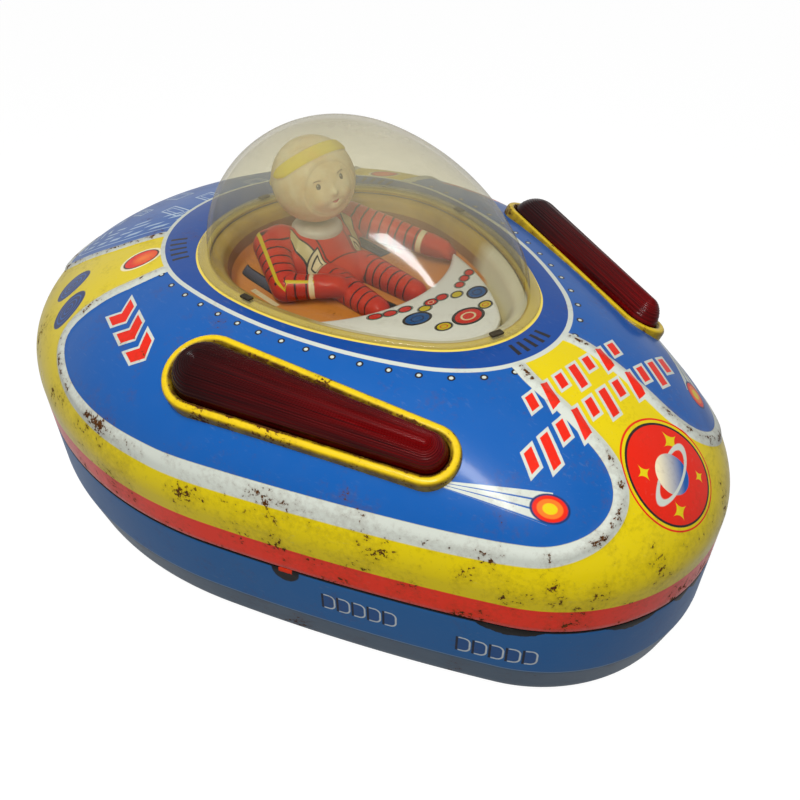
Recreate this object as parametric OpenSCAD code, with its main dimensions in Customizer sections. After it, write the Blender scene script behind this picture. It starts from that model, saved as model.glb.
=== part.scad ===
// Tin toy space car: a stamped two-part body on a bump-and-go drive, with a clear
// canopy, a seated pilot and two red light lenses. Millimetres, +X is the nose, +Z is up,
// the origin is on the ground under the middle of the body.

/* [Body] */
// overall length of the body
body_length = 220; // [212:1:226]
// overall width of the body
body_width = 165; // [160:1:170]
// height of the lower edge of the upper shell
seam_height = 29; // [28:0.5:30]
// height of the coloured stripe above the seam
stripe_height = 7; // [6:0.5:8]
// straight part of the wall above the stripe
wall_height = 3; // [2:0.5:4]
// height of the deck round the cockpit
deck_height = 69; // [68:0.5:71]
// thickness of the tinplate
sheet = 1; // [0.8:0.1:1.1]
// gap between the shell and the pan inside it
seam_gap = 0.3; // [0.25:0.05:0.4]

/* [Pan] */
// ground clearance of the pan
pan_clearance = 3.25; // [3:0.25:4]
// drop from the seam to the bend of the pan
bend_drop = 15; // [13:0.5:17]
// how far the lower wall of the pan leans in
pan_taper = 2.6; // [2:0.2:3.6]
// lip of the pan inside the shell
pan_lap = 3; // [2:0.5:4]

/* [Cockpit] */
// length of the canopy flange
cockpit_length = 104; // [101:1:106]
// width of the canopy flange
cockpit_width = 80.6; // [78:0.2:82]
// front end of the canopy flange
cockpit_front = 54.5; // [53:0.5:56]
// height of the canopy above the deck
canopy_height = 33; // [32:0.5:36]
// wall of the canopy
canopy_wall = 1.2; // [1:0.1:1.5]
// width of the canopy flange
flange_width = 3; // [2.5:0.25:3.5]
// depth of the cockpit tray under the deck
tray_depth = 11.5; // [10.5:0.25:12.5]

/* [Lenses] */
// radius of the lens at its rear end
lens_rear = 7.8; // [7.2:0.1:8.2]
// radius of the lens at its front end
lens_front = 4.7; // [4.2:0.1:5]
// distance between the two end centres
lens_span = 55; // [53:0.5:56.5]
// angle of the lens to the centre line
lens_splay = 22; // [21:0.5:23]
// outward tilt of the lens
lens_tilt = 24; // [22:0.5:26]
// height of the lens above its seat
lens_crown = 7; // [6:0.25:8]
// width of the raised rim
rim_width = 2.6; // [2.3:0.1:2.8]
// play between a lens, its rim and the shell
rim_fit = 0.08; // [0.06:0.01:0.1]

/* [Pilot] */
// radius of the head
head_radius = 12; // [11:0.25:12.5]
// radius of the neck pin
neck_radius = 3; // [2.5:0.25:3.5]
// radius of the collar
collar_radius = 7.5; // [7:0.25:8]

/* [Running gear] */
// radius of the drive wheels
drive_wheel = 9; // [8.5:0.25:9.5]
// width of the drive wheels
drive_width = 5; // [4:0.25:5.5]
// radius of the rear wheels
rear_wheel = 12; // [11.5:0.25:12.5]
// width of the rear wheels
rear_width = 6; // [5:0.25:6.5]
// radius of both wheel axles
axle_radius = 1.5; // [1.25:0.05:1.6]
// radius of the turret disc
turret_radius = 20; // [19:0.5:21]
// radius of the turret hub
hub_radius = 5; // [4.5:0.25:5.5]
// radial play of every running fit
run_fit = 0.05; // [0.03:0.01:0.08]

/* [Drive] */
// radius of the motor can
motor_radius = 11.5; // [10.5:0.25:11.5]
// height of the motor can
motor_height = 26; // [24:0.5:27]
// radius of the motor shaft
motor_shaft_radius = 1.2; // [1:0.05:1.4]
// radius of the gear pin and the drive shaft
shaft_radius = 1.5; // [1.25:0.05:1.6]
// height of the lower gear plate
plate_height = 36; // [35.5:0.25:36.5]
// thickness of a gear plate
plate_sheet = 1.5; // [1.25:0.05:1.6]
// thickness of a gear
gear_width = 2.5; // [2:0.25:2.75]

/* [Power] */
// radius of a dry cell
cell_radius = 13; // [12.5:0.1:13.1]
// length of a dry cell
cell_length = 49; // [48.7:0.1:49.4]
// wall of the battery box
box_wall = 1.2; // [1:0.1:1.4]
// travel of the switch lever
switch_travel = 4; // [3:0.25:5]

/* [Hidden] */
$fn = 32;
play = 0.05;
stripe_top = seam_height + stripe_height;
crown_base = stripe_top + wall_height;
crown_rise = deck_height - crown_base;
len_k = body_length / 220.4;
wid_k = body_width / 164.35;
egg_len = cockpit_length / 102;
cockpit_k = cockpit_length / 104;
egg_wid = cockpit_width / 80.6;
floor_z = pan_clearance + sheet;
body_arcs = [[45.8, 58], [540, 65.5], [110.8, 110], [80.42, 180]];
egg_arcs = [[26, 50], [88, 85], [40.3, 180]];
crown_power = 1.08;
half_angles = concat([for (i = [0:7]) 58 * i / 7], [60.5, 63, 65.5],
  [for (i = [1:5]) 65.5 + 44.5 * i / 5], [for (i = [1:9]) 110 + 70 * i / 9]);
half_n = len(half_angles);
angles = concat(half_angles, [for (i = [half_n - 2:-1:1]) 360 - half_angles[i]]);
ring_n = len(angles);
turret_x = 45;
gear_x = 26;
motor_x = 6;
rear_y = 41;
bracket_y = 33;
post_y = 20;
cell_z = 20.5;
box_x1 = -8;
box_x0 = box_x1 - cell_length - 5;
rear_x = box_x0 - 6;
box_top = cell_z + 13.5;
box_half = 26.8;
lens_x = 13;
lens_y = -58.5;
lens_z = deck_height - 4.8;
lens_pitch = 3.4;
head_x = seat_at(-21);
dome_x = seat_at(-12);
head_z = deck_height + 15;
switch_x = -88;
hinge_x = box_x1 - 4.4;
hinge_z = pan_clearance + sheet / 2;
hinge_radius = 1;
pin_radius = 0.55;
knuckle_half = 8;
knuckle_width = 4;

// point of a chain of arcs where its outward normal has the angle t
function chain(t, x, y, a, arcs, i = 0) =
  let (r = arcs[i][0], e = arcs[i][1], b = min(t, e))
  let (px = x + r * (cos(b) - cos(a)), py = y + r * (sin(b) - sin(a)))
  (t <= e || i == len(arcs) - 1) ? [px, py] : chain(t, px, py, e, arcs, i + 1);
function side(t) = t > 180 ? -1 : 1;
function fold(t) = t > 180 ? 360 - t : t;
function body_at(t, d) =
  let (p = chain(fold(t), 110, 0, 0, body_arcs))
  [p[0] * len_k + d * cos(t), side(t) * p[1] * wid_k + d * sin(t)];
function egg_at(t, d) =
  let (p = chain(fold(t), 0, 0, 0, egg_arcs))
  [cockpit_front + p[0] * egg_len + d * cos(t), side(t) * p[1] * egg_wid + d * sin(t)];
// place along the cockpit, which keeps its share of the cockpit's length
function seat_at(x) = cockpit_front + (x - 54.5) * cockpit_k;
function mix(a, b, s) = a * (1 - s) + b * s;
function body_ring(d, z) = [for (t = angles) let (p = body_at(t, d)) [p[0], p[1], z]];
function egg_ring(d, z) = [for (t = angles) let (p = egg_at(t, d)) [p[0], p[1], z]];
// crown between the wall and the deck edge, f from 0 to 90 degrees
function crown_ring(f, d) =
  [for (t = angles) let (p = mix(body_at(t, -d), egg_at(t, 0), 1 - pow(cos(f), crown_power)))
    [p[0], p[1], crown_base + (crown_rise - d) * pow(sin(f), crown_power)]];
function dome_ring(f, d) =
  [for (t = angles) let (p = mix([dome_x, 0], egg_at(t, -flange_width - d), cos(f)))
    [p[0], p[1], deck_height + 1 + (canopy_height - 1 - d) * sin(f)]];
function rev(v) = [for (i = [len(v) - 1:-1:0]) v[i]];
function flat(rings) = [for (r = rings) each r];
function wall_faces(n, m, wrap) =
  [for (j = [0:m - (wrap ? 1 : 2)]) for (i = [0:n - 1])
    let (k = (j + 1) % m, h = (i + 1) % n)
    each [[j * n + i, k * n + h, j * n + h], [j * n + i, k * n + i, k * n + h]]];
function first_cap(n, c) = [for (i = [0:n - 1]) [c, i, (i + 1) % n]];
function last_cap(n, m, c) =
  [for (i = [0:n - 1]) [c, (m - 1) * n + (i + 1) % n, (m - 1) * n + i]];

// rings run up the outside, over the edge and down the inside, and close on themselves
module loop_solid(rings) {
  polyhedron(flat(rings), wall_faces(len(rings[0]), len(rings), true), convexity = 10);
}
// rings run from one middle point to another
module cup_solid(a, rings, b) {
  n = len(rings[0]);
  m = len(rings);
  polyhedron(concat(flat(rings), [a, b]),
    concat(wall_faces(n, m, false), first_cap(n, n * m), last_cap(n, m, n * m + 1)),
    convexity = 10);
}

// teardrop outline: a big rear circle at 0 and a small front circle at span
function drop_turn(a, b, span) = acos((a - b) / span);
function drop_list(a, b, span) = let (q = drop_turn(a, b, span))
  concat([for (i = [0:14]) [0, a, q + (360 - 2 * q) * i / 14]],
    [for (i = [0:8]) [span, b, -q + 2 * q * i / 8]]);
function drop_ring(a, b, span, k, z) =
  [for (p = drop_list(a, b, span)) [p[0] + p[1] * k * cos(p[2]), p[1] * k * sin(p[2]), z]];
module drop_plate(d) {
  polygon([for (p = drop_ring(lens_rear + d, lens_front + d, lens_span, 1, 0)) [p[0], p[1]]]);
}
module lens_frame() {
  translate([lens_x, lens_y, lens_z]) rotate([0, 0, lens_splay])
    rotate([lens_tilt, lens_pitch, 0]) children();
}
module lens_hole() {
  lens_frame() translate([0, 0, -14]) linear_extrude(28) drop_plate(rim_width);
}

module upper_shell() {
  color([0.12, 0.3, 0.66]) difference() {
    loop_solid(concat(
      [body_ring(0, seam_height), body_ring(0, crown_base)],
      [for (f = [10:10:90]) crown_ring(f, 0)],
      [egg_ring(-flange_width - 0.5, deck_height), egg_ring(-flange_width - 0.5, deck_height - sheet)],
      [for (f = [90:-10:10]) crown_ring(f, sheet)],
      [body_ring(-sheet, crown_base), body_ring(-sheet, seam_height)]));
    lens_hole();
    mirror([0, 1, 0]) lens_hole();
  }
}

module lower_pan() {
  top = seam_height + pan_lap;
  step = seam_height - seam_gap;
  bend = seam_height - bend_drop;
  d = sheet + seam_gap;
  color([0.14, 0.27, 0.47]) {
    for (s = [-1, 1]) translate([0, s * (knuckle_half + 0.3 + knuckle_width / 2), 0])
      hinge_knuckle(knuckle_width, box_x1 - 2.9, 0.02);
    difference() {
      cup_solid([0, 0, pan_clearance],
        [body_ring(-pan_taper, pan_clearance), body_ring(0, bend), body_ring(0, step),
         body_ring(-d, step), body_ring(-d, top), body_ring(-d - sheet, top),
         body_ring(-d - sheet, step - sheet), body_ring(-sheet, step - sheet),
         body_ring(-sheet, bend), body_ring(-sheet - pan_taper, floor_z)], [0, 0, floor_z]);
      translate([turret_x, 0, 0]) cylinder(h = 10, r = turret_radius + 4.5);
      translate([box_x0 + 3, -24, 0]) cube([box_x1 - box_x0 - 6, 48, 10]);
      for (s = [-1, 1]) translate([rear_x - rear_wheel - 1.5, s * rear_y - rear_width / 2 - 1, 0])
        cube([2 * rear_wheel + 3, rear_width + 2, 10]);
      translate([switch_x - 1.8, -2 - switch_travel / 2 - 1, 0]) cube([3.6, switch_travel + 6, 10]);
    }
  }
}
// rolled loop of a sheet hinge with the tongue that joins it to its sheet at x
module hinge_knuckle(w, x, fit) {
  difference() {
    union() {
      translate([hinge_x, -w / 2, hinge_z]) rotate([-90, 0, 0]) cylinder(h = w, r = hinge_radius);
      translate([min(hinge_x, x), -w / 2, pan_clearance]) cube([abs(x - hinge_x), w, sheet]);
    }
    translate([hinge_x, -w, hinge_z]) rotate([-90, 0, 0]) cylinder(h = 2 * w, r = pin_radius + fit);
  }
}

// folded fastening tabs that close the seam
module shell_tabs() {
  d = sheet + seam_gap;
  color([0.7, 0.16, 0.12]) for (t = [63, 150, 210, 297]) {
    p = body_at(t, -d - sheet - 0.45);
    translate([p[0], p[1], seam_height + 0.2]) rotate([0, 0, t]) translate([-0.7, -2.5, 0])
      cube([0.7, 5, pan_lap + 3]);
  }
}

module cockpit_tray() {
  z = deck_height - sheet - play;
  b = deck_height - tray_depth;
  color([0.78, 0.45, 0.2]) cup_solid([0, 0, b - 1],
    rev([egg_ring(-12, b), egg_ring(-9, b + 1.5), egg_ring(-7, z - 1.4), egg_ring(-5.5, z),
     egg_ring(-0.6, z), egg_ring(-0.6, z - 1), egg_ring(-5, z - 1), egg_ring(-6.1, z - 1.9),
     egg_ring(-8.1, b + 0.9), egg_ring(-11.7, b - 1)]), [0, 0, b]);
}

// raised instrument panel at the front of the tray
module dash_panel() {
  b = deck_height - tray_depth + play;
  color([0.86, 0.86, 0.84]) difference() {
    union() {
      translate([0, 0, b]) linear_extrude(2)
        polygon([for (t = angles) egg_at(t, -12.4)]);
      translate([0, 0, b + 1.7]) linear_extrude(5.5)
        polygon([for (t = angles) egg_at(t, -9.5)]);
    }
    translate([seat_at(18), -50, b + 5.5]) rotate([0, -2, 0]) translate([-60, 0, 0])
      cube([160, 100, 10]);
    translate([seat_at(-22), 0, b - 1]) cylinder(h = 10, r = 40 * cockpit_k, $fn = 64);
    translate([seat_at(0) - 70, -50, b - 1]) cube([70, 100, 10]);
  }
}

// tapered limb from p to q
module limb(p, q, a, b) {
  v = q - p;
  translate(p) rotate([0, acos(v[2] / norm(v)), atan2(v[1], v[0])]) {
    cylinder(h = norm(v), r1 = a, r2 = b, $fn = 20);
    sphere(r = a, $fn = 20);
    translate([0, 0, norm(v)]) sphere(r = b, $fn = 20);
  }
}
module pilot_body() {
  b = deck_height - tray_depth + play;
  color([0.8, 0.17, 0.08]) difference() {
    intersection() {
      union() {
        translate([head_x, 0, b + 4]) scale([11, 13.5, 10]) sphere(r = 1, $fn = 32);
        translate([head_x + 8, 0, b + 2]) scale([10, 10, 6]) sphere(r = 1, $fn = 24);
        for (s = [-1, 1]) {
          translate([head_x - 3, s * 11, b + 8.8]) sphere(r = 6.4, $fn = 24);
          limb([seat_at(-8), s * 6, b + 2.4], [seat_at(13), s * 6.6, b + 2.2], 4.6, 3.6);
        }
        limb([head_x - 3.5, -14.2, b + 9.6], [seat_at(-10), -20, b + 4.5], 4.8, 4);
        limb([seat_at(-10), -20, b + 4.5], [seat_at(-0.5), -10, b + 5], 4, 3.4);
        limb([head_x - 3, 14.2, b + 9.6], [seat_at(-11), 21, b + 7], 4.8, 4);
        limb([seat_at(-11), 21, b + 7], [seat_at(3), 26.5, b + 5], 4, 3.4);
      }
      translate([-70, -50, b]) cube([140, 100, 30]);
    }
    translate([head_x, 0, b + 10.4]) cylinder(h = 20, r = collar_radius + 0.02);
  }
}
module neck_collar() {
  b = deck_height - tray_depth + play;
  color([0.9, 0.9, 0.86]) translate([head_x, 0, b + 10.45]) {
    cylinder(h = head_z - head_radius - b - 10.6, r = collar_radius);
    cylinder(h = head_z - b - 12, r = neck_radius);
  }
}
module pilot_head() {
  color([0.93, 0.89, 0.72]) difference() {
    translate([head_x, 0, head_z]) {
      sphere(r = head_radius);
      rotate([0, 62, 0]) translate([0, 0, -1.5]) cylinder(h = 3, r = head_radius + 0.25);
    }
    translate([head_x, 0, head_z - 20]) cylinder(h = 20, r = neck_radius + run_fit);
  }
}

module canopy_dome() {
  z = deck_height + play;
  d = flange_width;
  color([0.93, 0.9, 0.75, 0.35]) cup_solid(
    [dome_x, 0, deck_height + canopy_height - canopy_wall],
    rev(concat([for (f = [82, 70, 58, 46, 34, 22, 10]) dome_ring(f, 0)],
      [egg_ring(-d, deck_height + 1), egg_ring(-0.3, deck_height + 1), egg_ring(-0.3, z),
       egg_ring(-d - canopy_wall, z), egg_ring(-d - canopy_wall, deck_height + 1)],
      [for (f = [10, 22, 34, 46, 58, 70, 82]) dome_ring(f, canopy_wall)])),
    [dome_x, 0, deck_height + canopy_height]);
}
// folded metal tabs over the canopy flange
module canopy_tabs() {
  color([0.2, 0.18, 0.15]) for (t = [82, 180, 278, 349]) {
    p = egg_at(t, -1.9);
    translate([p[0], p[1], deck_height + 1.03]) rotate([0, 0, t]) translate([-0.8, -1.6, 0])
      cube([1.6, 3.2, 0.5]);
  }
}

module right_lens() {
  a = lens_rear - rim_fit;
  b = lens_front - rim_fit;
  w = 1;
  rows = [20, 40, 60, 78];
  color([0.5, 0.02, 0.04, 0.85]) lens_frame() cup_solid(
    [lens_span / 2, 0, lens_crown - w],
    rev(concat([for (i = [3:-1:0])
        drop_ring(a, b, lens_span, cos(rows[i]), lens_crown * sin(rows[i]))],
      [drop_ring(a, b, lens_span, 1, 0), drop_ring(a, b, lens_span, 1, -2),
       drop_ring(a - w, b - w, lens_span, 1, -2), drop_ring(a - w, b - w, lens_span, 1, 0)],
      [for (f = rows) drop_ring(a - w, b - w, lens_span, cos(f), (lens_crown - w) * sin(f))])),
    [lens_span / 2, 0, lens_crown]);
}
module left_lens() {
  mirror([0, 1, 0]) right_lens();
}
module right_lens_rim() {
  color([0.93, 0.78, 0.05]) lens_frame() translate([0, 0, -7]) linear_extrude(8.5) difference() {
    drop_plate(rim_width - rim_fit);
    drop_plate(0);
  }
}
module left_lens_rim() {
  mirror([0, 1, 0]) right_lens_rim();
}

// bulb under a lens
module right_lamp() {
  color([0.9, 0.88, 0.8]) translate([28, -50, 46.1]) {
    cylinder(h = 5, r = 3.2);
    translate([0, 0, 5]) sphere(r = 3.2);
  }
}
module left_lamp() {
  mirror([0, 1, 0]) right_lamp();
}
module right_lamp_post() {
  color([0.7, 0.7, 0.68]) translate([28, -50, floor_z + play]) {
    cylinder(h = 40 - floor_z, r = 2);
    translate([0, 0, 38 - floor_z]) difference() {
      cylinder(h = 10, r = 4.2);
      translate([0, 0, 8]) cylinder(h = 5, r = 3.25);
    }
  }
}
module left_lamp_post() {
  mirror([0, 1, 0]) right_lamp_post();
}

module plate_blank(z) {
  translate([-6, -post_y - 4, z]) cube([80, 2 * post_y + 8, plate_sheet]);
}
module post_holes(z) {
  for (x = [-2, 21, 69], s = [-1, 1]) translate([x, s * post_y, z - 1])
    cylinder(h = 5, r = 2 + 0.02);
}
module gear_plate() {
  z = plate_height;
  color([0.72, 0.73, 0.72]) difference() {
    plate_blank(z);
    translate([turret_x, 0, z - 1]) cylinder(h = 5, r = hub_radius + run_fit);
    translate([motor_x, 0, z - 1]) cylinder(h = 5, r = motor_shaft_radius + run_fit);
    translate([gear_x, 0, z - 1]) cylinder(h = 5, r = shaft_radius + 0.02);
    post_holes(z);
  }
}
module top_plate() {
  z = plate_height + 13;
  color([0.72, 0.73, 0.72]) difference() {
    plate_blank(z);
    translate([turret_x, 0, z - 1]) cylinder(h = 5, r = shaft_radius + run_fit);
    translate([gear_x, 0, z - 1]) cylinder(h = 5, r = shaft_radius + 0.02);
    post_holes(z);
  }
}
module plate_posts() {
  color([0.62, 0.62, 0.6]) for (x = [-2, 21, 69], s = [-1, 1])
    translate([x, s * post_y, floor_z + play]) {
      cylinder(h = plate_height + 13.2 + plate_sheet - floor_z, r = 2);
      cylinder(h = plate_height - floor_z - 2 * play, r = 2.8);
      translate([0, 0, plate_height + plate_sheet - floor_z])
        cylinder(h = 13 - plate_sheet - 2 * play, r = 2.8);
    }
}

module motor_can() {
  z = plate_height - play;
  color([0.75, 0.75, 0.73]) difference() {
    translate([motor_x, 0, z - motor_height]) cylinder(h = motor_height, r = motor_radius);
    translate([motor_x, 0, z - 15]) cylinder(h = 16, r = motor_shaft_radius + run_fit);
  }
}
module motor_shaft() {
  color([0.6, 0.6, 0.62]) translate([motor_x, 0, plate_height - 14])
    cylinder(h = 22, r = motor_shaft_radius);
}

// spur gear outline with one tooth on the +X axis
function tooth(n, i, f, r) = let (t = 360 * (i + f) / n) [r * cos(t), r * sin(t)];
function gear_points(n) = [for (i = [0:n - 1]) each [
  tooth(n, i, -0.29, n / 2 - 1.15), tooth(n, i, -0.11, n / 2 + 0.8),
  tooth(n, i, 0.11, n / 2 + 0.8), tooth(n, i, 0.29, n / 2 - 1.15)]];
module spur(n, turn, h, bore) {
  rotate([0, 0, turn]) difference() {
    linear_extrude(h) polygon(gear_points(n));
    translate([0, 0, -1]) cylinder(h = h + 2, r = bore);
  }
}
module motor_pinion() {
  color([0.8, 0.66, 0.3]) translate([motor_x, 0, plate_height + 4])
    spur(10, 0, gear_width, motor_shaft_radius + 0.02);
}
module reduction_gear() {
  color([0.85, 0.84, 0.78]) translate([gear_x, 0, plate_height + 4]) {
    spur(30, 6, gear_width, shaft_radius + run_fit);
    translate([0, 0, gear_width]) spur(10, 0, gear_width + 1.5, shaft_radius + run_fit);
    translate([0, 0, -2.4]) difference() {
      cylinder(h = 2.4, r = 3);
      translate([0, 0, -1]) cylinder(h = 5, r = shaft_radius + run_fit);
    }
  }
}
module gear_pin() {
  color([0.6, 0.6, 0.62]) translate([gear_x, 0, plate_height - 1])
    cylinder(h = 14 + plate_sheet + 0.5, r = shaft_radius);
}
module drive_shaft() {
  color([0.6, 0.6, 0.62]) translate([turret_x, 0, 11.8])
    cylinder(h = plate_height + 15 + plate_sheet - 12.3, r = shaft_radius);
}
module output_gear() {
  color([0.85, 0.84, 0.78]) translate([turret_x, 0, plate_height + 5 + gear_width])
    spur(28, 180 / 28, gear_width, shaft_radius + 0.02);
}
// small pinion over the crown gear, one half of the opened mesh
module drive_pinion() {
  color([0.8, 0.66, 0.3]) translate([turret_x, 0, 12.2]) difference() {
    linear_extrude(6) polygon([for (i = [0:7]) each [tooth(8, i, -0.3, 2.2), tooth(8, i, -0.14, 3),
      tooth(8, i, 0.14, 3), tooth(8, i, 0.3, 2.2)]]);
    translate([0, 0, -1]) cylinder(h = 8, r = shaft_radius + 0.02);
  }
}

module turret() {
  z = plate_height;
  color([0.7, 0.71, 0.7]) difference() {
    union() {
      translate([turret_x, 0, 20]) cylinder(h = 1.5, r = turret_radius);
      translate([turret_x, 0, 20]) cylinder(h = z - 20 - play, r = hub_radius + 2.5);
      translate([turret_x, 0, 20]) cylinder(h = z + 3 - 20, r = hub_radius);
      for (s = [-1, 1]) translate([turret_x - 5, s * 7 - 0.75, drive_wheel - 4])
        cube([10, 1.5, 21 - drive_wheel + 4]);
    }
    translate([turret_x, 0, 10]) cylinder(h = 60, r = shaft_radius + run_fit);
    translate([turret_x, -20, drive_wheel]) rotate([-90, 0, 0])
      cylinder(h = 40, r = axle_radius + run_fit);
  }
}
// retaining ring of the turret above the plate
module turret_clip() {
  z = plate_height + plate_sheet;
  color([0.3, 0.3, 0.32]) translate([turret_x, 0, z + 0.1]) difference() {
    cylinder(h = 1, r = hub_radius + 2);
    translate([0, 0, -1]) cylinder(h = 3, r = hub_radius + 0.02);
  }
}

module drive_axle() {
  l = 9 + drive_width + 1;
  color([0.6, 0.6, 0.62]) translate([turret_x, -l, drive_wheel]) rotate([-90, 0, 0])
    cylinder(h = 2 * l, r = axle_radius);
}
module crown_gear() {
  color([0.85, 0.84, 0.78]) translate([turret_x, 0, drive_wheel]) rotate([-90, 0, 0]) difference() {
    union() {
      translate([0, 0, 4]) cylinder(h = 1.2, r = 6);
      for (i = [0:15]) rotate([0, 0, 360 * i / 16]) translate([4, -0.4, 3.35]) cube([1.9, 0.8, 1]);
      translate([0, 0, 5]) cylinder(h = 1, r = 3);
    }
    cylinder(h = 10, r = axle_radius + 0.02);
  }
}
module wheel(r, w, bore) {
  rotate([-90, 0, 0]) difference() {
    cylinder(h = w, r = r, $fn = 48);
    translate([0, 0, -1]) cylinder(h = w + 2, r = bore);
  }
}
module right_drive_wheel() {
  color([0.12, 0.12, 0.12]) translate([turret_x, -9 - drive_width, drive_wheel])
    wheel(drive_wheel, drive_width, axle_radius + 0.02);
}
module left_drive_wheel() {
  color([0.12, 0.12, 0.12]) translate([turret_x, 9, drive_wheel])
    wheel(drive_wheel, drive_width, axle_radius + 0.02);
}

module rear_brackets() {
  color([0.7, 0.71, 0.7]) for (s = [-1, 1]) translate([rear_x, s * bracket_y, 0]) difference() {
    translate([-5, -0.75, floor_z + play]) cube([10, 1.5, rear_wheel + 5 - floor_z]);
    translate([0, -5, rear_wheel]) rotate([-90, 0, 0])
      cylinder(h = 10, r = axle_radius + run_fit);
  }
}
module rear_axle() {
  color([0.6, 0.6, 0.62]) translate([rear_x, -rear_y - 5, rear_wheel]) rotate([-90, 0, 0])
    cylinder(h = 2 * rear_y + 10, r = axle_radius);
}
module right_rear_wheel() {
  color([0.75, 0.75, 0.73]) translate([rear_x, -rear_y - rear_width / 2, rear_wheel])
    wheel(rear_wheel - 3.02, rear_width, axle_radius + 0.02);
}
module left_rear_wheel() {
  mirror([0, 1, 0]) right_rear_wheel();
}
module right_rear_tyre() {
  color([0.12, 0.12, 0.12]) translate([rear_x, -rear_y - rear_width / 2, rear_wheel])
    wheel(rear_wheel, rear_width, rear_wheel - 3);
}
module left_rear_tyre() {
  mirror([0, 1, 0]) right_rear_tyre();
}

module battery_box() {
  w = box_wall;
  z = floor_z + play;
  color([0.6, 0.62, 0.62]) difference() {
    translate([box_x0, -box_half - w, z])
      cube([box_x1 - box_x0, 2 * (box_half + w), box_top + w - z]);
    translate([box_x0 + w, -box_half, z - 1])
      cube([box_x1 - box_x0 - 2 * w, 2 * box_half, box_top - z + 1]);
  }
}
// dry cell with its cap at the front
module right_cell() {
  c = (box_x0 + box_x1) / 2;
  color([0.75, 0.2, 0.12]) translate([c - cell_length / 2, -13.3, cell_z]) rotate([0, 90, 0]) {
    cylinder(h = cell_length - 1.4, r = cell_radius, $fn = 48);
    cylinder(h = cell_length, r = 3.2);
  }
}
module left_cell() {
  translate([box_x0 + box_x1, 0, 0]) rotate([0, 0, 180]) right_cell();
}
module contact_strip(x) {
  translate([x, -20, cell_z - 6]) cube([0.5, 40, 12]);
}
module front_contact() {
  color([0.8, 0.66, 0.3]) contact_strip(box_x1 - box_wall - 0.55);
}
module rear_contact() {
  color([0.8, 0.66, 0.3]) contact_strip(box_x0 + box_wall + 0.05);
}
module battery_door() {
  edge = hinge_x - hinge_radius - 0.3;
  notch = knuckle_half + knuckle_width + 0.6;
  color([0.14, 0.27, 0.47]) {
    difference() {
      translate([box_x0 + 3.4, -23.6, pan_clearance]) cube([box_x1 - box_x0 - 6.8, 47.2, sheet]);
      translate([edge, -notch, 0]) cube([10, 2 * notch, 10]);
    }
    hinge_knuckle(2 * knuckle_half, edge - 0.1, run_fit);
  }
}
module door_pin() {
  l = knuckle_half + knuckle_width + 0.3;
  color([0.6, 0.6, 0.62]) translate([hinge_x, -l, hinge_z]) rotate([-90, 0, 0])
    cylinder(h = 2 * l, r = pin_radius);
}
module switch_case() {
  z = floor_z + play;
  color([0.25, 0.25, 0.25]) difference() {
    translate([switch_x - 5, -9, z]) cube([10, 18, 6.5]);
    translate([switch_x - 3, -7.5, z - 1]) cube([6, 15, 5.5]);
  }
}
module switch_lever() {
  y = -switch_travel / 2;
  color([0.8, 0.8, 0.78]) {
    translate([switch_x - 2.6, y - 3, floor_z + 0.35]) cube([5.2, 6, 3.6]);
    translate([switch_x - 1.3, y - 1.5, 1.6]) cube([2.6, 3, floor_z]);
  }
}

upper_shell();
lower_pan();
shell_tabs();
cockpit_tray();
dash_panel();
pilot_body();
neck_collar();
pilot_head();
canopy_dome();
canopy_tabs();
right_lens();
left_lens();
right_lens_rim();
left_lens_rim();
right_lamp();
left_lamp();
right_lamp_post();
left_lamp_post();
gear_plate();
top_plate();
plate_posts();
motor_can();
motor_shaft();
motor_pinion();
reduction_gear();
gear_pin();
drive_shaft();
output_gear();
drive_pinion();
turret();
turret_clip();
drive_axle();
crown_gear();
right_drive_wheel();
left_drive_wheel();
rear_brackets();
rear_axle();
right_rear_wheel();
left_rear_wheel();
right_rear_tyre();
left_rear_tyre();
battery_box();
right_cell();
left_cell();
front_contact();
rear_contact();
battery_door();
door_pin();
switch_case();
switch_lever();
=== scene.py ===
import math
from contextlib import contextmanager

import bmesh
import bpy
import numpy as np
from mathutils import Matrix, Vector


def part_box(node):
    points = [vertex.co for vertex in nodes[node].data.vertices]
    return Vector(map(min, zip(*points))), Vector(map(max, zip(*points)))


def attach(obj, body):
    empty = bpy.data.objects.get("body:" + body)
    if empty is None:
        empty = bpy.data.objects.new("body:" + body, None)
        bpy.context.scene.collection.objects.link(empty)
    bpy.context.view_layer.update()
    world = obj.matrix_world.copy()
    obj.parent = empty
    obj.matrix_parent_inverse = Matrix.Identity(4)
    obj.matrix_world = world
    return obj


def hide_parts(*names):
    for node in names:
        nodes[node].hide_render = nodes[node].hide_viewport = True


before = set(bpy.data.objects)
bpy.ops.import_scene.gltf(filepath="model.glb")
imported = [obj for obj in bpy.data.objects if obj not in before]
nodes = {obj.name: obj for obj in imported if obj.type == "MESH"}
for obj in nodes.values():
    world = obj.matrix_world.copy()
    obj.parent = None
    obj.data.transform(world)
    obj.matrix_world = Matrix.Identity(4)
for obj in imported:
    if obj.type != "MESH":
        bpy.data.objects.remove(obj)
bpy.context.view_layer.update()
scene = bpy.context.scene
mm = 0.001
print("frame loaded,", len(nodes), "nodes")


def placed(name, data):   # a new object in the scene
    made = bpy.data.objects.new(name, data)
    scene.collection.objects.link(made)
    return made


# camera and light, at the photograph's view

studio = dict(   # places in mm, lamp sizes in metres, angles in degrees, power in watts
    place=(145.0, -120.2, 166.5), azimuth=47.37, elevation=38.29, lens=34.2, film=36, nearest=0.005,
    flashPlace=(112, -144, 290), flashSize=(0.036, 0.21), flashRoll=35, flashPower=0.76,
    fillPlace=(100, -110, 460), fillSize=(0.5, 0.5), fillPower=0.36, aim=(0, 0, 0.05), skyLight=0.19,
)


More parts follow.
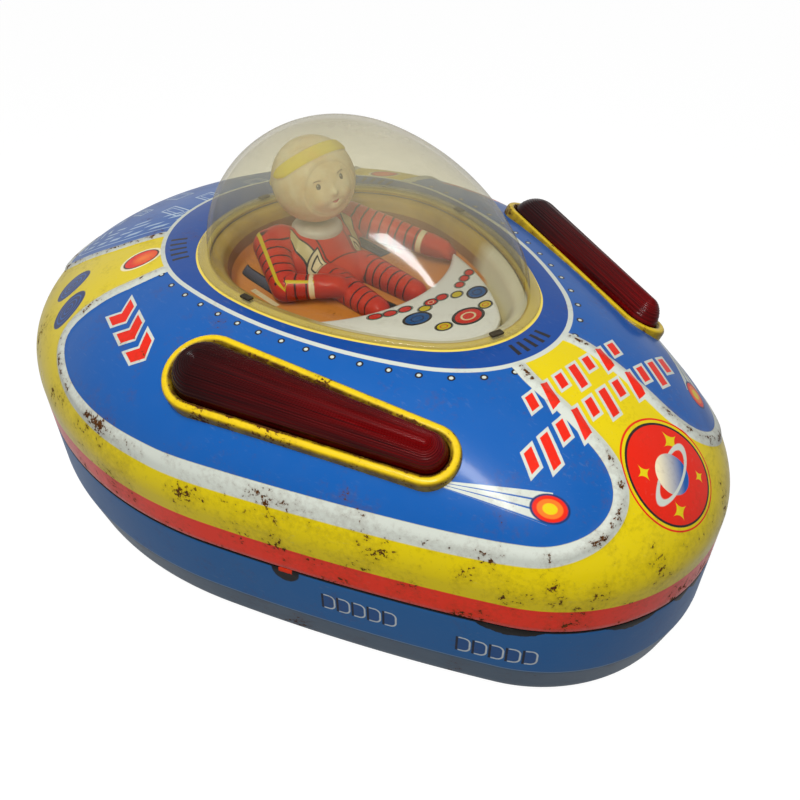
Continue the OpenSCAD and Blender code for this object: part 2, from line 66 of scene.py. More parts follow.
def softLamp(name, place, size, power, roll=0.0):
    data = bpy.data.lights.new(name, "AREA")
    data.shape, data.size, data.size_y, data.energy = "RECTANGLE", *size, power
    lamp = placed(name, data)
    lamp.location = Vector(place) * mm
    lamp.rotation_euler = (Vector(studio["aim"]) - lamp.location).to_track_quat("-Z", "Y").to_euler()
    lamp.rotation_euler.rotate_axis("Z", math.radians(roll))


cameraData = bpy.data.cameras.new("photoCamera")
cameraData.lens, cameraData.sensor_width, cameraData.clip_start = (studio[k] for k in ("lens", "film", "nearest"))
camera = placed("photoCamera", cameraData)
camera.location = Vector(studio["place"]) * mm
camera.rotation_euler = (math.radians(90 - studio["elevation"]), 0, math.radians(studio["azimuth"]))
scene.camera = camera
softLamp("flash", studio["flashPlace"], studio["flashSize"], studio["flashPower"], studio["flashRoll"])
softLamp("skyPanel", studio["fillPlace"], studio["fillSize"], studio["fillPower"])
scene.view_settings.view_transform = "Standard"


# shader sums: a wire stands for a socket and takes part in expressions

def plug(tree, port, value):
    if isinstance(value, Wire):
        tree.links.new(value.socket, port)
    elif isinstance(value, (tuple, list)) and port.type == "RGBA" and len(value) == 3:
        port.default_value = (*value, 1)
    else:
        port.default_value = value


class Wire:
    def __init__(self, tree, socket):
        self.tree, self.socket = tree, socket

    def sum(self, operation, *terms, clamp=False):
        made = self.tree.nodes.new("ShaderNodeMath")
        made.operation, made.use_clamp = operation, clamp
        for port, term in zip(made.inputs, terms):
            plug(self.tree, port, term)
        return Wire(self.tree, made.outputs[0])

    def __add__(self, other): return self.sum("ADD", self, other)
    def __radd__(self, other): return self.sum("ADD", other, self)
    def __sub__(self, other): return self.sum("SUBTRACT", self, other)
    def __rsub__(self, other): return self.sum("SUBTRACT", other, self)
    def __mul__(self, other): return self.sum("MULTIPLY", self, other)
    def __rmul__(self, other): return self.sum("MULTIPLY", other, self)
    def __truediv__(self, other): return self.sum("DIVIDE", self, other)
    def __pow__(self, other): return self.sum("POWER", self, other)
    def __neg__(self): return self.sum("MULTIPLY", self, -1.0)
    def __abs__(self): return self.sum("ABSOLUTE", self)
    def least(self, other): return self.sum("MINIMUM", self, other)
    def most(self, other): return self.sum("MAXIMUM", self, other)
    def fraction(self): return self.sum("FRACT", self)
    def whole(self): return self.sum("ROUND", self)
    def over(self, other): return self.sum("GREATER_THAN", self, other)
    def clamped(self): return self.sum("ADD", self, 0.0, clamp=True)
    def away(self, other): return self.sum("SQRT", self * self + other * other)
    def beyond(self, middle, half): return abs(self - middle) - half   # past a strip, and below zero within it
    def scaled(self, gain, lift): return self.sum("MULTIPLY_ADD", self, gain, lift, clamp=True)
    def inside(self, soft=0.06): return self.scaled(-0.5 / soft, 0.5)   # 1 below zero, over a soft edge in mm
    def ramp(self, low, high): return self.scaled(1 / (high - low), -low / (high - low))


def tone(red, green, blue):   # screen colour to light
    return tuple((c / 255 / 12.92 if c < 10.3 else ((c / 255 + 0.055) / 1.055) ** 2.4) for c in (red, green, blue))


def namedMaterial(name): return bpy.data.materials.get(name) or bpy.data.materials.new(name)


class Graph:
    def add(self, kind, settings=None, sockets=None, out=0):
        made = self.tree.nodes.new(kind)
        for key, value in (settings or {}).items():
            setattr(made, key, value)
        for key, value in (sockets or {}).items():
            plug(self.tree, made.inputs[key], value)
        return Wire(self.tree, made.outputs[out])

    def vectors(self, operation, first, second, out=0):
        return self.add("ShaderNodeVectorMath", {"operation": operation}, {0: first, 1: second}, out)

    def rays(self, *ways):   # which kinds of ray arrive
        return [self.add("ShaderNodeLightPath", out=f"Is {way} Ray") for way in ways]


class Finish(Graph):
    def __init__(self, name, **sockets):
        self.material = namedMaterial(name)
        self.material.use_nodes = True
        self.tree = self.material.node_tree
        self.tree.nodes.clear()
        self.shader = self.tree.nodes.new("ShaderNodeBsdfPrincipled")
        self.output = self.tree.nodes.new("ShaderNodeOutputMaterial")
        self.show(self.plain())
        for key, value in sockets.items():
            self.set(key, value)

    def plain(self): return Wire(self.tree, self.shader.outputs[0])

    def show(self, shader): plug(self.tree, self.output.inputs[0], shader)

    def set(self, key, value): plug(self.tree, self.shader.inputs[key.replace("_", " ")], value)

    def place(self, folded=False):   # object coordinates in mm, as one vector and three numbers
        found = self.add("ShaderNodeTexCoord", out=3)
        vector = self.add("ShaderNodeVectorMath", {"operation": "SCALE"}, {0: found, 3: 1 / mm})
        parts = self.add("ShaderNodeSeparateXYZ", None, {0: vector})
        x, y, z = (Wire(self.tree, s) for s in parts.socket.node.outputs)
        if folded:
            vector = self.add("ShaderNodeCombineXYZ", None, {0: x, 1: abs(y), 2: z})
        return vector, x, y, z

    def mark(self, name): return self.add("ShaderNodeAttribute", {"attribute_name": name}, out=2)

    def mix(self, share, first, second):
        return self.add("ShaderNodeMix", {"data_type": "RGBA"}, {0: share, 6: first, 7: second}, out=2)

    def mixShaders(self, share, first, second):
        return self.add("ShaderNodeMixShader", None, {0: share, 1: first, 2: second})

    def lay(self, mask, ink):   # prints an ink over the colour so far
        self.colour = self.mix(mask, self.colour, inks[ink] if isinstance(ink, str) else ink)

    def noise(self, vector, scale, detail=3.0, rough=0.5):
        sockets = {"Vector": vector, "Scale": scale, "Detail": detail, "Roughness": rough}
        return self.add("ShaderNodeTexNoise", None, sockets)

    def dot(self, vector, origin, axis):   # distance from origin along an axis
        return self.vectors("DOT_PRODUCT", self.vectors("SUBTRACT", vector, tuple(origin)), tuple(axis), out=1)

    def bump(self, height, strength, distance):
        sockets = {"Strength": strength, "Distance": distance, "Height": height}
        self.set("Normal", self.add("ShaderNodeBump", None, sockets))

    def on(self, *pieces):
        for piece in pieces:
            piece.data.materials.clear()
            piece.data.materials.append(self.material)


# meshes

def addMarks(mesh, marks, kind="FLOAT", slot="value"):
    for key, values in marks.items():
        mesh.attributes.new(key, kind, "POINT").data.foreach_set(slot, np.asarray(values, np.float32).ravel())


def smoothed(mesh, sharp):
    mesh.shade_smooth()
    mesh.set_sharp_from_angle(angle=math.radians(sharp))


def makePiece(name, verts, faces, sharp=40, marks=None):
    mesh = bpy.data.meshes.new(name)
    mesh.from_pydata((np.asarray(verts, float) * mm).tolist(), [], faces)
    addMarks(mesh, marks or {})
    smoothed(mesh, sharp)
    return placed(name, mesh)


def vertsOf(mesh):
    points = np.zeros(len(mesh.vertices) * 3)
    mesh.vertices.foreach_get("co", points)
    return points.reshape(-1, 3)


def moveVerts(mesh, points): mesh.vertices.foreach_set("co", (points * mm).ravel())


@contextmanager
def editing(mesh):   # a mesh open for the edit tools
    edit = bmesh.new()
    edit.from_mesh(mesh)
    yield edit
    edit.to_mesh(mesh)
    edit.free()


def stackFaces(rows, cols, closed=False):   # rings that run up the outside
    j, i = np.meshgrid(np.arange(rows if closed else rows - 1), np.arange(cols), indexing="ij")
    k, h = (j + 1) % rows, (i + 1) % cols
    return np.stack([j * cols + i, j * cols + h, k * cols + h, k * cols + i], -1).reshape(-1, 4).tolist()


def flatEnded(rows, cols):   # rings with one flat face at either end
    return stackFaces(rows, cols) + [tuple(reversed(range(cols))), tuple(range((rows - 1) * cols, rows * cols))]


def fanEnded(rings, low, high):   # rings with a fan to a centre at either end
    rows, cols = len(rings), len(rings[0])
    pairs = [(i, (i + 1) % cols) for i in range(cols)]
    last = (rows - 1) * cols
    faces = stackFaces(rows, cols) + [(b, a, rows * cols) for a, b in pairs]
    faces += [(last + a, last + b, rows * cols + 1) for a, b in pairs]
    return np.concatenate(rings + [[low, high]]), faces


def level(plan, z): return np.concatenate([plan, np.full((len(plan), 1), z)], 1)


def baked(piece, name):   # the evaluated mesh as a plain piece
    shown = piece.evaluated_get(bpy.context.evaluated_depsgraph_get())
    mesh = bpy.data.meshes.new_from_object(shown)
    bpy.data.objects.remove(piece)
    mesh.name = name
    return placed(name, mesh)


class Growth(Graph):   # a geometry node tree with named sizes
    def __init__(self, name, **sizes):
        self.name, self.sizes, self.keys = name, sizes, {}
        self.tree = bpy.data.node_groups.new(name, "GeometryNodeTree")
        panel = self.tree.interface
        for way in ("INPUT", "OUTPUT"):
            panel.new_socket("Geometry", in_out=way, socket_type="NodeSocketGeometry")
        for key, value in sizes.items():
            kind = "NodeSocketInt" if isinstance(value, int) else "NodeSocketFloat"
            self.keys[key] = panel.new_socket(key, in_out="INPUT", socket_type=kind).identifier
        self.entry, self.exit = (self.tree.nodes.new("NodeGroup" + way) for way in ("Input", "Output"))
        self.source = Wire(self.tree, self.entry.outputs[0])

    def size(self, key): return Wire(self.tree, self.entry.outputs[key])

    def spread(self, key):   # a vector attribute of the points
        return self.add("GeometryNodeInputNamedAttribute", {"data_type": "FLOAT_VECTOR"}, {"Name": key})

    def keep(self, shape, key, value):
        settings = {"data_type": "FLOAT", "domain": "POINT"}
        return self.add("GeometryNodeStoreNamedAttribute", settings, {0: shape, "Name": key, "Value": value})

    def grow(self, shape, piece, finish, name):
        whole = self.add("GeometryNodeRealizeInstances", None, {0: shape})
        dressed = self.add("GeometryNodeSetMaterial", None, {0: whole, "Material": namedMaterial(finish)})
        self.tree.links.new(dressed.socket, self.exit.inputs[0])
        tool = piece.modifiers.new(self.name, "NODES")
        tool.node_group = self.tree
        for key, value in self.sizes.items():
            tool[self.keys[key]] = value
        return baked(piece, name)


def cutAway(piece, *cutters):
    for cutter in cutters:
        tool = piece.modifiers.new("cut", "BOOLEAN")
        tool.operation, tool.object, tool.solver = "DIFFERENCE", cutter, "EXACT"
    name = piece.name
    piece.name = name + "Blank"
    made = baked(piece, name)
    for cutter in cutters:
        bpy.data.objects.remove(cutter)
    return made


def seat(piece, bodyName, slot, *stoodFor):
    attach(piece, bodyName)
    if stoodFor:
        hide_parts(*stoodFor)
    return piece


def boxOf(node): return [np.array(corner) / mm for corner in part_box(node)]   # lowest and highest corner in mm


def middleOf(node): return np.array(sum(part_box(node), Vector()) / 2) / mm


# outlines: chains of arcs by the turn of their outward normal, as the tin dies were drawn

shellLow, shellHigh = boxOf("upper_shell")
body = dict(start=110.0, arcs=((45.8, 58), (540, 65.5), (110.8, 110), (80.42, 180)), stretch=(1, 1), shift=0.0)
cockpit = dict(start=0.0, arcs=((26, 50), (88, 85), (40.3, 180)), stretch=(104 / 102, 1), shift=54.5)
printRing = dict(
    start=0.0, arcs=((27.86, 41.05), (38.63, 57.7), (123.83, 90), (44.73, 180)), stretch=(1, 1), shift=62.9,
)
shell = dict(   # hem: out and up from the seam; lip: out, down from the deck and whether hidden
    seam=shellLow[2], stripe=shellLow[2] + 7, crown=shellLow[2] + 10, deck=shellHigh[2], sheet=1.0,
    power=1.08, columns=480, rows=112, innerRows=15,
    hem=((-0.55, 0.0), (-0.15, 0.05), (0, 0.3), (0, 1.5), (0, 3.5), (0, 5.5), (0, 7), (0, 8.5), (0, 10)),
    lip=((-0.8, 0, 0), (-1.6, 0, 0), (-2.5, 0, 0), (-3.2, 0, 0), (-3.5, 0.15, 0), (-3.5, 0.95, 1)),
)


def outlineAt(line, turn, out=0.0):
    turn = np.mod(np.asarray(turn, float), 360)
    folded = np.where(turn > 180, 360 - turn, turn)
    x, y, done = np.full_like(turn, line["start"]), np.zeros_like(turn), 0.0
    for radius, end in line["arcs"]:
        upTo = np.radians(np.clip(folded, done, end))
        x = x + radius * (np.cos(upTo) - math.cos(math.radians(done)))
        y = y + radius * (np.sin(upTo) - math.sin(math.radians(done)))
        done = end
    side, angle, (long, wide) = np.where(turn > 180, -1, 1), np.radians(turn), line["stretch"]
    return np.stack([line["shift"] + x * long + out * np.cos(angle), side * y * wide + out * np.sin(angle)], -1)


bodySpan = np.ptp(outlineAt(body, np.linspace(0, 360, 721)), axis=0)
body["stretch"] = tuple((shellHigh - shellLow)[:2] * 0.9998 / bodySpan)   # fits the die to the frame
ringPath = outlineAt(printRing, np.linspace(0, 180, 361))


def crownAt(turn, rise, inward=0.0):   # rise from 0 at the wall to 90 at the deck
    share = np.cos(np.radians(rise)) ** shell["power"]
    lift = np.sin(np.radians(rise)) ** shell["power"]
    plan = outlineAt(body, turn, -inward) * share[..., None] + outlineAt(cockpit, turn) * (1 - share)[..., None]
    height = shell["crown"] + (shell["deck"] - shell["crown"] - inward) * lift
    return np.concatenate([plan, height[..., None]], -1)


def crownSpot(turn, height):   # the point of the crown at a turn and a height
    lift = (np.asarray(height, float) - shell["crown"]) / (shell["deck"] - shell["crown"])
    return crownAt(np.asarray(turn, float), np.degrees(np.arcsin(np.clip(lift, 0, 1) ** (1 / shell["power"]))))


def runAlong(path): return np.concatenate([[0], np.cumsum(np.linalg.norm(np.diff(path, axis=0), axis=1))])


def evenTurns(count):   # turns spaced evenly along the middle of the crown
    fine = np.linspace(0, 360, 2881)
    run = runAlong((outlineAt(body, fine) + outlineAt(cockpit, fine)) / 2)
    return np.interp(np.arange(count) / count * run[-1], run, fine)


def splineThrough(points, steps=10):   # smooth path through control points
    p = np.concatenate([points[:1], points, points[-1:]])
    s = np.linspace(0, 1, steps, endpoint=False)[:, None]
    path = [0.5 * (2 * b + (c - a) * s + (2 * a - 5 * b + 4 * c - d) * s**2 + (3 * b - a - 3 * c + d) * s**3)
            for a, b, c, d in zip(p[:-3], p[1:-2], p[2:-1], p[3:])]
    return np.concatenate(path + [points[-1:]])


def pathGap(points, path):   # distance to a path and the share of the path's points passed at the foot
    best, where = np.full(len(points), 1e9), np.zeros(len(points))
    for i, (a, b) in enumerate(zip(path[:-1], path[1:])):
        step = b - a
        share = np.clip((points - a) @ step / max(step @ step, 1e-12), 0, 1)
        gap = np.linalg.norm(points - a - share[:, None] * step, axis=1)
        near = gap < best
        best, where = np.where(near, gap, best), np.where(near, i + share, where)
    return best, where


def sideOf(points, path):   # -1 within the path in plan and 1 beyond it, by even-odd crossings
    inside = np.zeros(len(points), bool)
    x, y = points[:, 0], points[:, 1]
    for (ax, ay), (bx, by) in zip(path[:, :2], np.roll(path[:, :2], -1, 0)):
        crosses = (ay > y) != (by > y)
        inside ^= crosses & (x < (bx - ax) * (y - ay) / (by - ay + 1e-12) + ax)
    return np.where(inside, -1, 1)


# upper shell with its embossed beads

beads = dict(   # each path by turn and height; half widths and height in mm
    panel=((13, 68.95), (16, 68.6), (18, 67.7), (17.2, 66.2), (16.2, 63.5), (15.8, 60.8), (17.5, 58), (21.2, 55.3),
           (27, 52.8), (34, 50.8), (42.2, 49.4), (50.5, 48.8), (60, 48.6), (67.5, 48.6), (76, 48.5), (83, 48.6),
           (89, 49.3), (94, 50.6), (100.2, 53.7), (103.5, 57.6), (105.8, 63.5), (107.5, 66.6), (112.8, 68.5),
           (118, 68.95)),
    deck=((143, 68.9), (137.5, 68.1), (131.2, 65.4), (130, 62.5), (130.6, 58), (133, 54.2), (138, 52.4),
          (150, 51.5), (165, 51.4), (180, 51.4)),
    panelHalf=1.75, sideMore=0.75, sideMiddle=0.56, sideSpan=0.2, sideFlat=0.85, deckHalf=1.6, deckShare=0.8,
    spread=0.72, high=0.75, passes=6, fade=1.2, foot=shell["stripe"] + 3, deckWithin=(-40, 0, 0), ringWithin=(0, -1),
)


def shellRows(turns):   # rings with their flange mark and whether they are hidden
    def crown(rise, inward=0.0): return crownAt(turns, np.full(len(turns), rise), inward)
    seam, deck, sheet = shell["seam"], shell["deck"], shell["sheet"]
    rows = [(level(outlineAt(body, turns, out), seam + up), 70, 0) for out, up in shell["hem"]]
    rows += [(crown(rise), 90 - rise, 0) for rise in np.linspace(0, 90, shell["rows"] + 1)[1:]]
    rows += [(level(outlineAt(cockpit, turns, out), deck - down), out, hidden) for out, down, hidden in shell["lip"]]
    rows += [(crown(rise, sheet), 90 - rise, 1) for rise in np.linspace(90, 0, shell["innerRows"])]
    return rows + [(level(outlineAt(body, turns, -sheet), seam + 0.1), 70, 1)]


def softened(field):   # a mark with its corners rounded
    for step in range(beads["passes"]):
        field = (np.roll(field, 1, 1) + 2 * field + np.roll(field, -1, 1)) / 4
        padded = np.concatenate([field[:1], field, field[-1:]])
        field = (padded[:-2] + 2 * field + padded[2:]) / 4
    return field.ravel()


def bell(mark): return np.exp(-((mark / beads["spread"]) ** 2))


def buildShell():
    turns = evenTurns(shell["columns"])
    rings, flange, inner = zip(*shellRows(turns))
    points = np.concatenate(rings)
    hidden = np.repeat(inner, len(turns))
    folded = points * (1, 0, 1) + np.abs(points) * (0, 1, 0)

    panelPath, deckPath = (splineThrough(crownSpot(*np.array(beads[k]).T)) for k in ("panel", "deck"))
    gap, where = pathGap(folded, panelPath)
    share = where / (len(panelPath) - 1)
    lower = np.clip(1 - np.abs(share - beads["sideMiddle"]) / beads["sideSpan"], 0, 1)   # wide and flat on the side
    panelMark = sideOf(folded, panelPath) * gap / (beads["panelHalf"] + beads["sideMore"] * lower)
    printed = (len(shell["hem"]) + shell["rows"]) * len(turns)   # points of the outside
    panelMark[:printed] = softened(panelMark.reshape(len(rings), -1))[:printed]
    deckLoop = np.concatenate([deckPath, [beads["deckWithin"]]])
    deckMark = sideOf(folded, deckLoop) * pathGap(folded, deckPath)[0] / beads["deckHalf"]
    gap, where = pathGap(folded[:, :2], ringPath)
    ringMark = sideOf(folded, np.concatenate([ringPath, [beads["ringWithin"]]])) * gap
    run = np.interp(where, np.arange(len(ringPath)), runAlong(ringPath))

    grid = points.reshape(len(rings), -1, 3)
    normal = np.cross(np.roll(grid, -1, 1) - np.roll(grid, 1, 1), np.gradient(grid, axis=0)).reshape(-1, 3)
    normal /= np.linalg.norm(normal, axis=1, keepdims=True) + 1e-9
    beyondRing = np.clip(ringMark / beads["fade"], 0, 1) * (1 - hidden) * (points[:, 2] > beads["foot"])
    ridge = bell(panelMark) * (1 - beads["sideFlat"] * lower) + beads["deckShare"] * bell(deckMark)
    ridge = np.clip(ridge, 0, 1) * beyondRing
    marks = dict(panelMark=panelMark, deckMark=deckMark, ringMark=ringMark, ringRun=run, insideMark=hidden,
                 flangeMark=np.repeat(flange, len(turns)), ridgeMark=ridge)
    raised = points + normal * (beads["high"] * ridge)[:, None]
    return makePiece("tinUpperShell", raised, stackFaces(len(rings), len(turns), True), 50, marks)


# teardrop lights: frame, rim and ribbed lens

light = dict(   # mm and degrees
    place=(13, -58.5, shell["deck"] - 4.8), splay=22, tilt=24, pitch=3.4, rear=7.8, front=4.7, span=55, crown=7,
    play=0.1, sink=0.16, base=(-2, -0.4), ribs=13, ribDeep=0.09, samples=64, cutGrow=1.6, cutReach=16,
)
rim = dict(Width=2.45, Height=8.38, Round=1.08, Inset=0.05, Top=1.48, Steps=6)
lightFrame = Matrix.Translation(light["place"])
for key, axis in (("splay", "Z"), ("pitch", "Y"), ("tilt", "X")):
    lightFrame = lightFrame @ Matrix.Rotation(math.radians(light[key]), 4, axis)


def dropRing(grow, share, z):   # teardrop outline, grown or shrunk
    a, b, span, n = light["rear"] + grow, light["front"] + grow, light["span"], light["samples"]
    turn = math.acos((a - b) / span)
    back, fore = np.linspace(turn, 2 * math.pi - turn, n), np.linspace(-turn, turn, n // 2 + 4)
    straight = np.linspace(0, 1, 26)[1:-1]
    rear = np.stack([a * share * np.cos(back), a * share * np.sin(back)], -1)
    tip = np.stack([span + b * share * np.cos(fore), b * share * np.sin(fore)], -1)
    lower = rear[-1] + (tip[0] - rear[-1]) * straight[:, None]
    upper = tip[-1] + (rear[0] - tip[-1]) * straight[:, None]
    return level(np.concatenate([rear, lower, tip, upper]), z)


def onLight(points, left):
    there = np.array([lightFrame @ Vector(p) for p in points])
    return there * (1, -1, 1) if left else there


def mirrorFaces(faces, left): return [tuple(reversed(f)) for f in faces] if left else faces


def buildLens(left):
    fit, ribs = -light["play"], light["ribs"]
    rings, across = [dropRing(fit, 1, z) for z in light["base"]], [1] * len(light["base"])
    for k in np.linspace(1, 0, ribs * 6 + 1):
        rib = light["ribDeep"] * math.cos(2 * math.pi * k * ribs) * min(1, k * 8) * min(1, (1 - k) * 12)
        rings.append(dropRing(fit, k, light["crown"] * math.sqrt(max(0.0, 1 - k * k)) + rib - light["sink"]))
        across.append(k)
    cols = len(rings[0])
    points = np.concatenate(rings)
    side = np.tile(np.sign(rings[0][:, 1] + 1e-6), len(rings))
    faces = stackFaces(len(rings), cols) + [tuple(reversed(range(cols)))]
    marks = dict(ribMark=np.repeat(across, cols), ribSide=side, runMark=points[:, 0])
    name = "leftLens" if left else "rightLens"
    piece = makePiece(name, onLight(points, left), mirrorFaces(faces, left), 60, marks)
    with editing(piece.data) as mesh:
        bmesh.ops.remove_doubles(mesh, verts=mesh.verts, dist=2e-6)
    return piece


def buildRim(left):   # a rounded strip swept along the teardrop
    path = dropRing(0, 1, 0)
    count = len(path)
    name = "leftLensRim" if left else "rightLensRim"
    loop = bpy.data.meshes.new(name + "Path")
    loop.from_pydata(path.tolist(), [(i, (i + 1) % count) for i in range(count)], [])
    guide = placed(name + "Path", loop)
    g = Growth("rimSweep", **rim)
    wide, high = g.size("Width"), g.size("Height")
    strip = g.add("GeometryNodeCurvePrimitiveQuadrilateral", None, {"Width": wide, "Height": high})
    corner = {0: strip, "Count": g.size("Steps"), "Radius": g.size("Round")}
    strip = g.add("GeometryNodeFilletCurve", {"mode": "POLY"}, corner)
    shift = g.add("ShaderNodeCombineXYZ", None, {0: g.size("Inset") + wide * 0.5, 1: high * 0.5 - g.size("Top")})
    strip = g.add("GeometryNodeTransform", None, {0: strip, "Translation": shift})
    parts = g.add("ShaderNodeSeparateXYZ", None, {0: g.add("GeometryNodeInputPosition")})
    strip = g.keep(strip, "lipMark", parts)
    strip = g.keep(strip, "depthMark", -Wire(g.tree, parts.socket.node.outputs[1]))
    rail = g.add("GeometryNodeMeshToCurve", None, {0: g.source})
    rail = g.add("GeometryNodeSetCurveNormal", {"mode": "Z_UP"}, {0: rail})
    piece = g.grow(g.add("GeometryNodeCurveToMesh", None, {0: rail, 1: strip}), guide, "rimPaint", name)
    moveVerts(piece.data, onLight(vertsOf(piece.data), left))
    if left:
        piece.data.flip_normals()
    smoothed(piece.data, 60)
    return piece


def lensCutter(left):
    rings = [dropRing(light["cutGrow"], 1, z) for z in (-light["cutReach"], light["cutReach"])]
    faces = mirrorFaces(flatEnded(2, len(rings[0])), left)
    return makePiece("lensCutter", onLight(np.concatenate(rings), left), faces)


upperShell = cutAway(buildShell(), lensCutter(False), lensCutter(True))
seat(upperShell, "base", "tin_blue", "upper_shell")
print("upper shell:", len(upperShell.data.polygons), "faces")
rims, lenses = [], []
for left, side in ((False, "right"), (True, "left")):
    rims.append(seat(buildRim(left), "base", "rim_yellow", side + "_lens_rim"))
    lenses.append(seat(buildLens(left), "base", "lens_red", side + "_lens"))
print("lights: two ribbed lenses and their rims")


# lower pan

pan = dict(
    top=shell["seam"] + 3, step=shell["seam"] - 0.3, bend=shell["seam"] - 15, gap=1.3, taper=2.6,
    low=boxOf("lower_pan")[0][2] + 0.5, columns=360, well=24.5, cut=(-2, 10), doorHalf=24, leverHalf=5,
    doorPlay=0.4, leverLap=0.8, tyrePlay=(1.5, 1),
)
hinge = dict(place=middleOf("door_pin"), radius=0.98, bore=0.56, near=8.3, far=12.3, sides=24)
panTurns = evenTurns(pan["columns"])
panOutline = outlineAt(body, panTurns)
panRun = runAlong(panOutline)
panRun = np.minimum(panRun, panRun[-1] + np.linalg.norm(panOutline[0] - panOutline[-1]) - panRun)   # from the nose


def panRunAt(x):   # run from the nose to a place along the car
    half = pan["columns"] // 2
    return float(np.interp(-x, -panOutline[:half, 0], panRun[:half]))


def blockCutter(xs, ys):
    corners = [(x, y, z) for x in xs for y in ys for z in pan["cut"]]
    faces = [(0, 1, 3, 2), (4, 6, 7, 5), (0, 4, 5, 1), (2, 3, 7, 6), (0, 2, 6, 4), (1, 5, 7, 3)]
    return makePiece("blockCutter", corners, faces)


def wellCutter(centre, radius, sides=96):
    turn = np.linspace(0, 2 * math.pi, sides + 1)[:-1]
    plan = np.stack([centre[0] + radius * np.cos(turn), centre[1] + radius * np.sin(turn)], -1)
    return makePiece("wellCutter", np.concatenate([level(plan, z) for z in pan["cut"]]), flatEnded(2, sides))


def panProfile():   # out and up, from the middle of the floor round the wall and back inside
    low, bend, step, top, sheet = pan["low"], pan["bend"], pan["step"], pan["top"], shell["sheet"]
    foot, lip = -pan["taper"], -pan["gap"]
    lean = pan["taper"] / (bend - low)
    profile = [(foot - inset, low) for inset in (40, 25, 12, 4, 0.9)] + [(foot - 0.25, low + 0.25)]
    profile += [(-lean * (bend - z), z) for z in np.linspace(low + 1.2, bend - 0.8, 7)]
    profile += [(-0.06, bend - 0.2), (0, bend + 0.5)] + [(0, z) for z in np.linspace(bend + 1.5, step - 0.4, 14)]
    profile += [(-0.1, step - 0.08), (-0.35, step), (lip, step), (lip, top), (lip - sheet, top)]
    profile += [(lip - sheet, step - sheet), (-sheet, step - sheet), (-sheet, bend)]
    return profile + [(foot - sheet - inset, low + sheet) for inset in (0, 12, 40)]


def buildPan():
    rings = [level(outlineAt(body, panTurns, out), z) for out, z in panProfile()]
    points, faces = fanEnded(rings, (0, 0, pan["low"]), (0, 0, pan["low"] + shell["sheet"]))
    run = np.concatenate([np.tile(panRun, len(rings)), [0, 0]])
    return makePiece("tinLowerPan", points, faces, 35, dict(panRun=run))


def addKnuckles(piece):   # the two rolled ends that hold the door pin
    turn = np.linspace(0, 2 * math.pi, hinge["sides"] + 1)[:-1]
    x, z = hinge["place"][::2]
    with editing(piece.data) as mesh:
        for side in (-1, 1):
            near, far = sorted((side * hinge["near"], side * hinge["far"]))
            loops = [(hinge["radius"], near), (hinge["radius"], far), (hinge["bore"], far), (hinge["bore"], near)]
            rings = [[mesh.verts.new(Vector((x + r * math.sin(t), across, z + r * math.cos(t))) * mm) for t in turn]
                     for r, across in loops]
            for a, b in zip(rings, rings[1:] + rings[:1]):
                for i in range(hinge["sides"]):
                    mesh.faces.new((a[i], a[i - 1], b[i - 1], b[i]))


tyreLow, tyreHigh = boxOf("left_rear_tyre")
doorLow, doorHigh = boxOf("battery_door")
leverLow, leverHigh = boxOf("switch_lever")
tyreAlong, tyreAcross = ((tyreLow[k] - play, tyreHigh[k] + play) for k, play in enumerate(pan["tyrePlay"]))
lowerPan = cutAway(
    buildPan(), wellCutter(middleOf("turret"), pan["well"]),
    blockCutter((doorLow[0] - pan["doorPlay"], doorHigh[0] + pan["doorPlay"]), (-pan["doorHalf"], pan["doorHalf"])),
    blockCutter(tyreAlong, tyreAcross),
    blockCutter(tyreAlong, (-tyreAcross[1], -tyreAcross[0])),
    blockCutter((leverLow[0] + pan["leverLap"], leverHigh[0] - pan["leverLap"]), (-pan["leverHalf"], pan["leverHalf"])),
)
addKnuckles(lowerPan)
seat(lowerPan, "base", "tin_pan", "lower_pan")
print("lower pan:", len(lowerPan.data.polygons), "faces")


# canopy

canopy = dict(
    apex=-12.0, flange=3.0, wall=1.2, base=shell["deck"] + 1, top=boxOf("canopy_dome")[1][2], columns=200, rows=46,
    foot=shell["deck"] + 0.06, steepest=88.5,
)


def buildCanopy():
    turns = evenTurns(canopy["columns"])
    apex, flange, wall, base, top = (canopy[k] for k in ("apex", "flange", "wall", "base", "top"))

    def dome(rise, inward):
        plan = outlineAt(cockpit, turns, -flange - inward) * math.cos(rise) + np.array([apex, 0]) * (1 - math.cos(rise))
        return level(plan, base + (top - base - inward) * math.sin(rise))
    rises = np.radians(np.linspace(0, canopy["steepest"], canopy["rows"]))
    lip = ((-flange - wall, 0), (-0.5, 0), (-0.3, 0.2), (-0.3, 0.7), (-0.5, 0.93),
           (0.5 - flange, 0.95), (0.15 - flange, 1.1))   # out and up
    within = [dome(r, wall) for r in rises[::-3]]
    rings = within + [level(outlineAt(cockpit, turns, out), canopy["foot"] + up) for out, up in lip]
    rings += [dome(r, 0) for r in rises[1:]]
    points, faces = fanEnded(rings, (apex, 0, top - wall), (apex, 0, top))
    innerMark = np.arange(len(points)) < (len(within) + 1) * len(turns) - 1
    return makePiece("clearCanopy", points, faces, 50, dict(innerMark=innerMark))


clearCanopy = seat(buildCanopy(), "base", "canopy_clear", "canopy_dome")
print("canopy:", len(clearCanopy.data.polygons), "faces")


# cockpit tray and dash

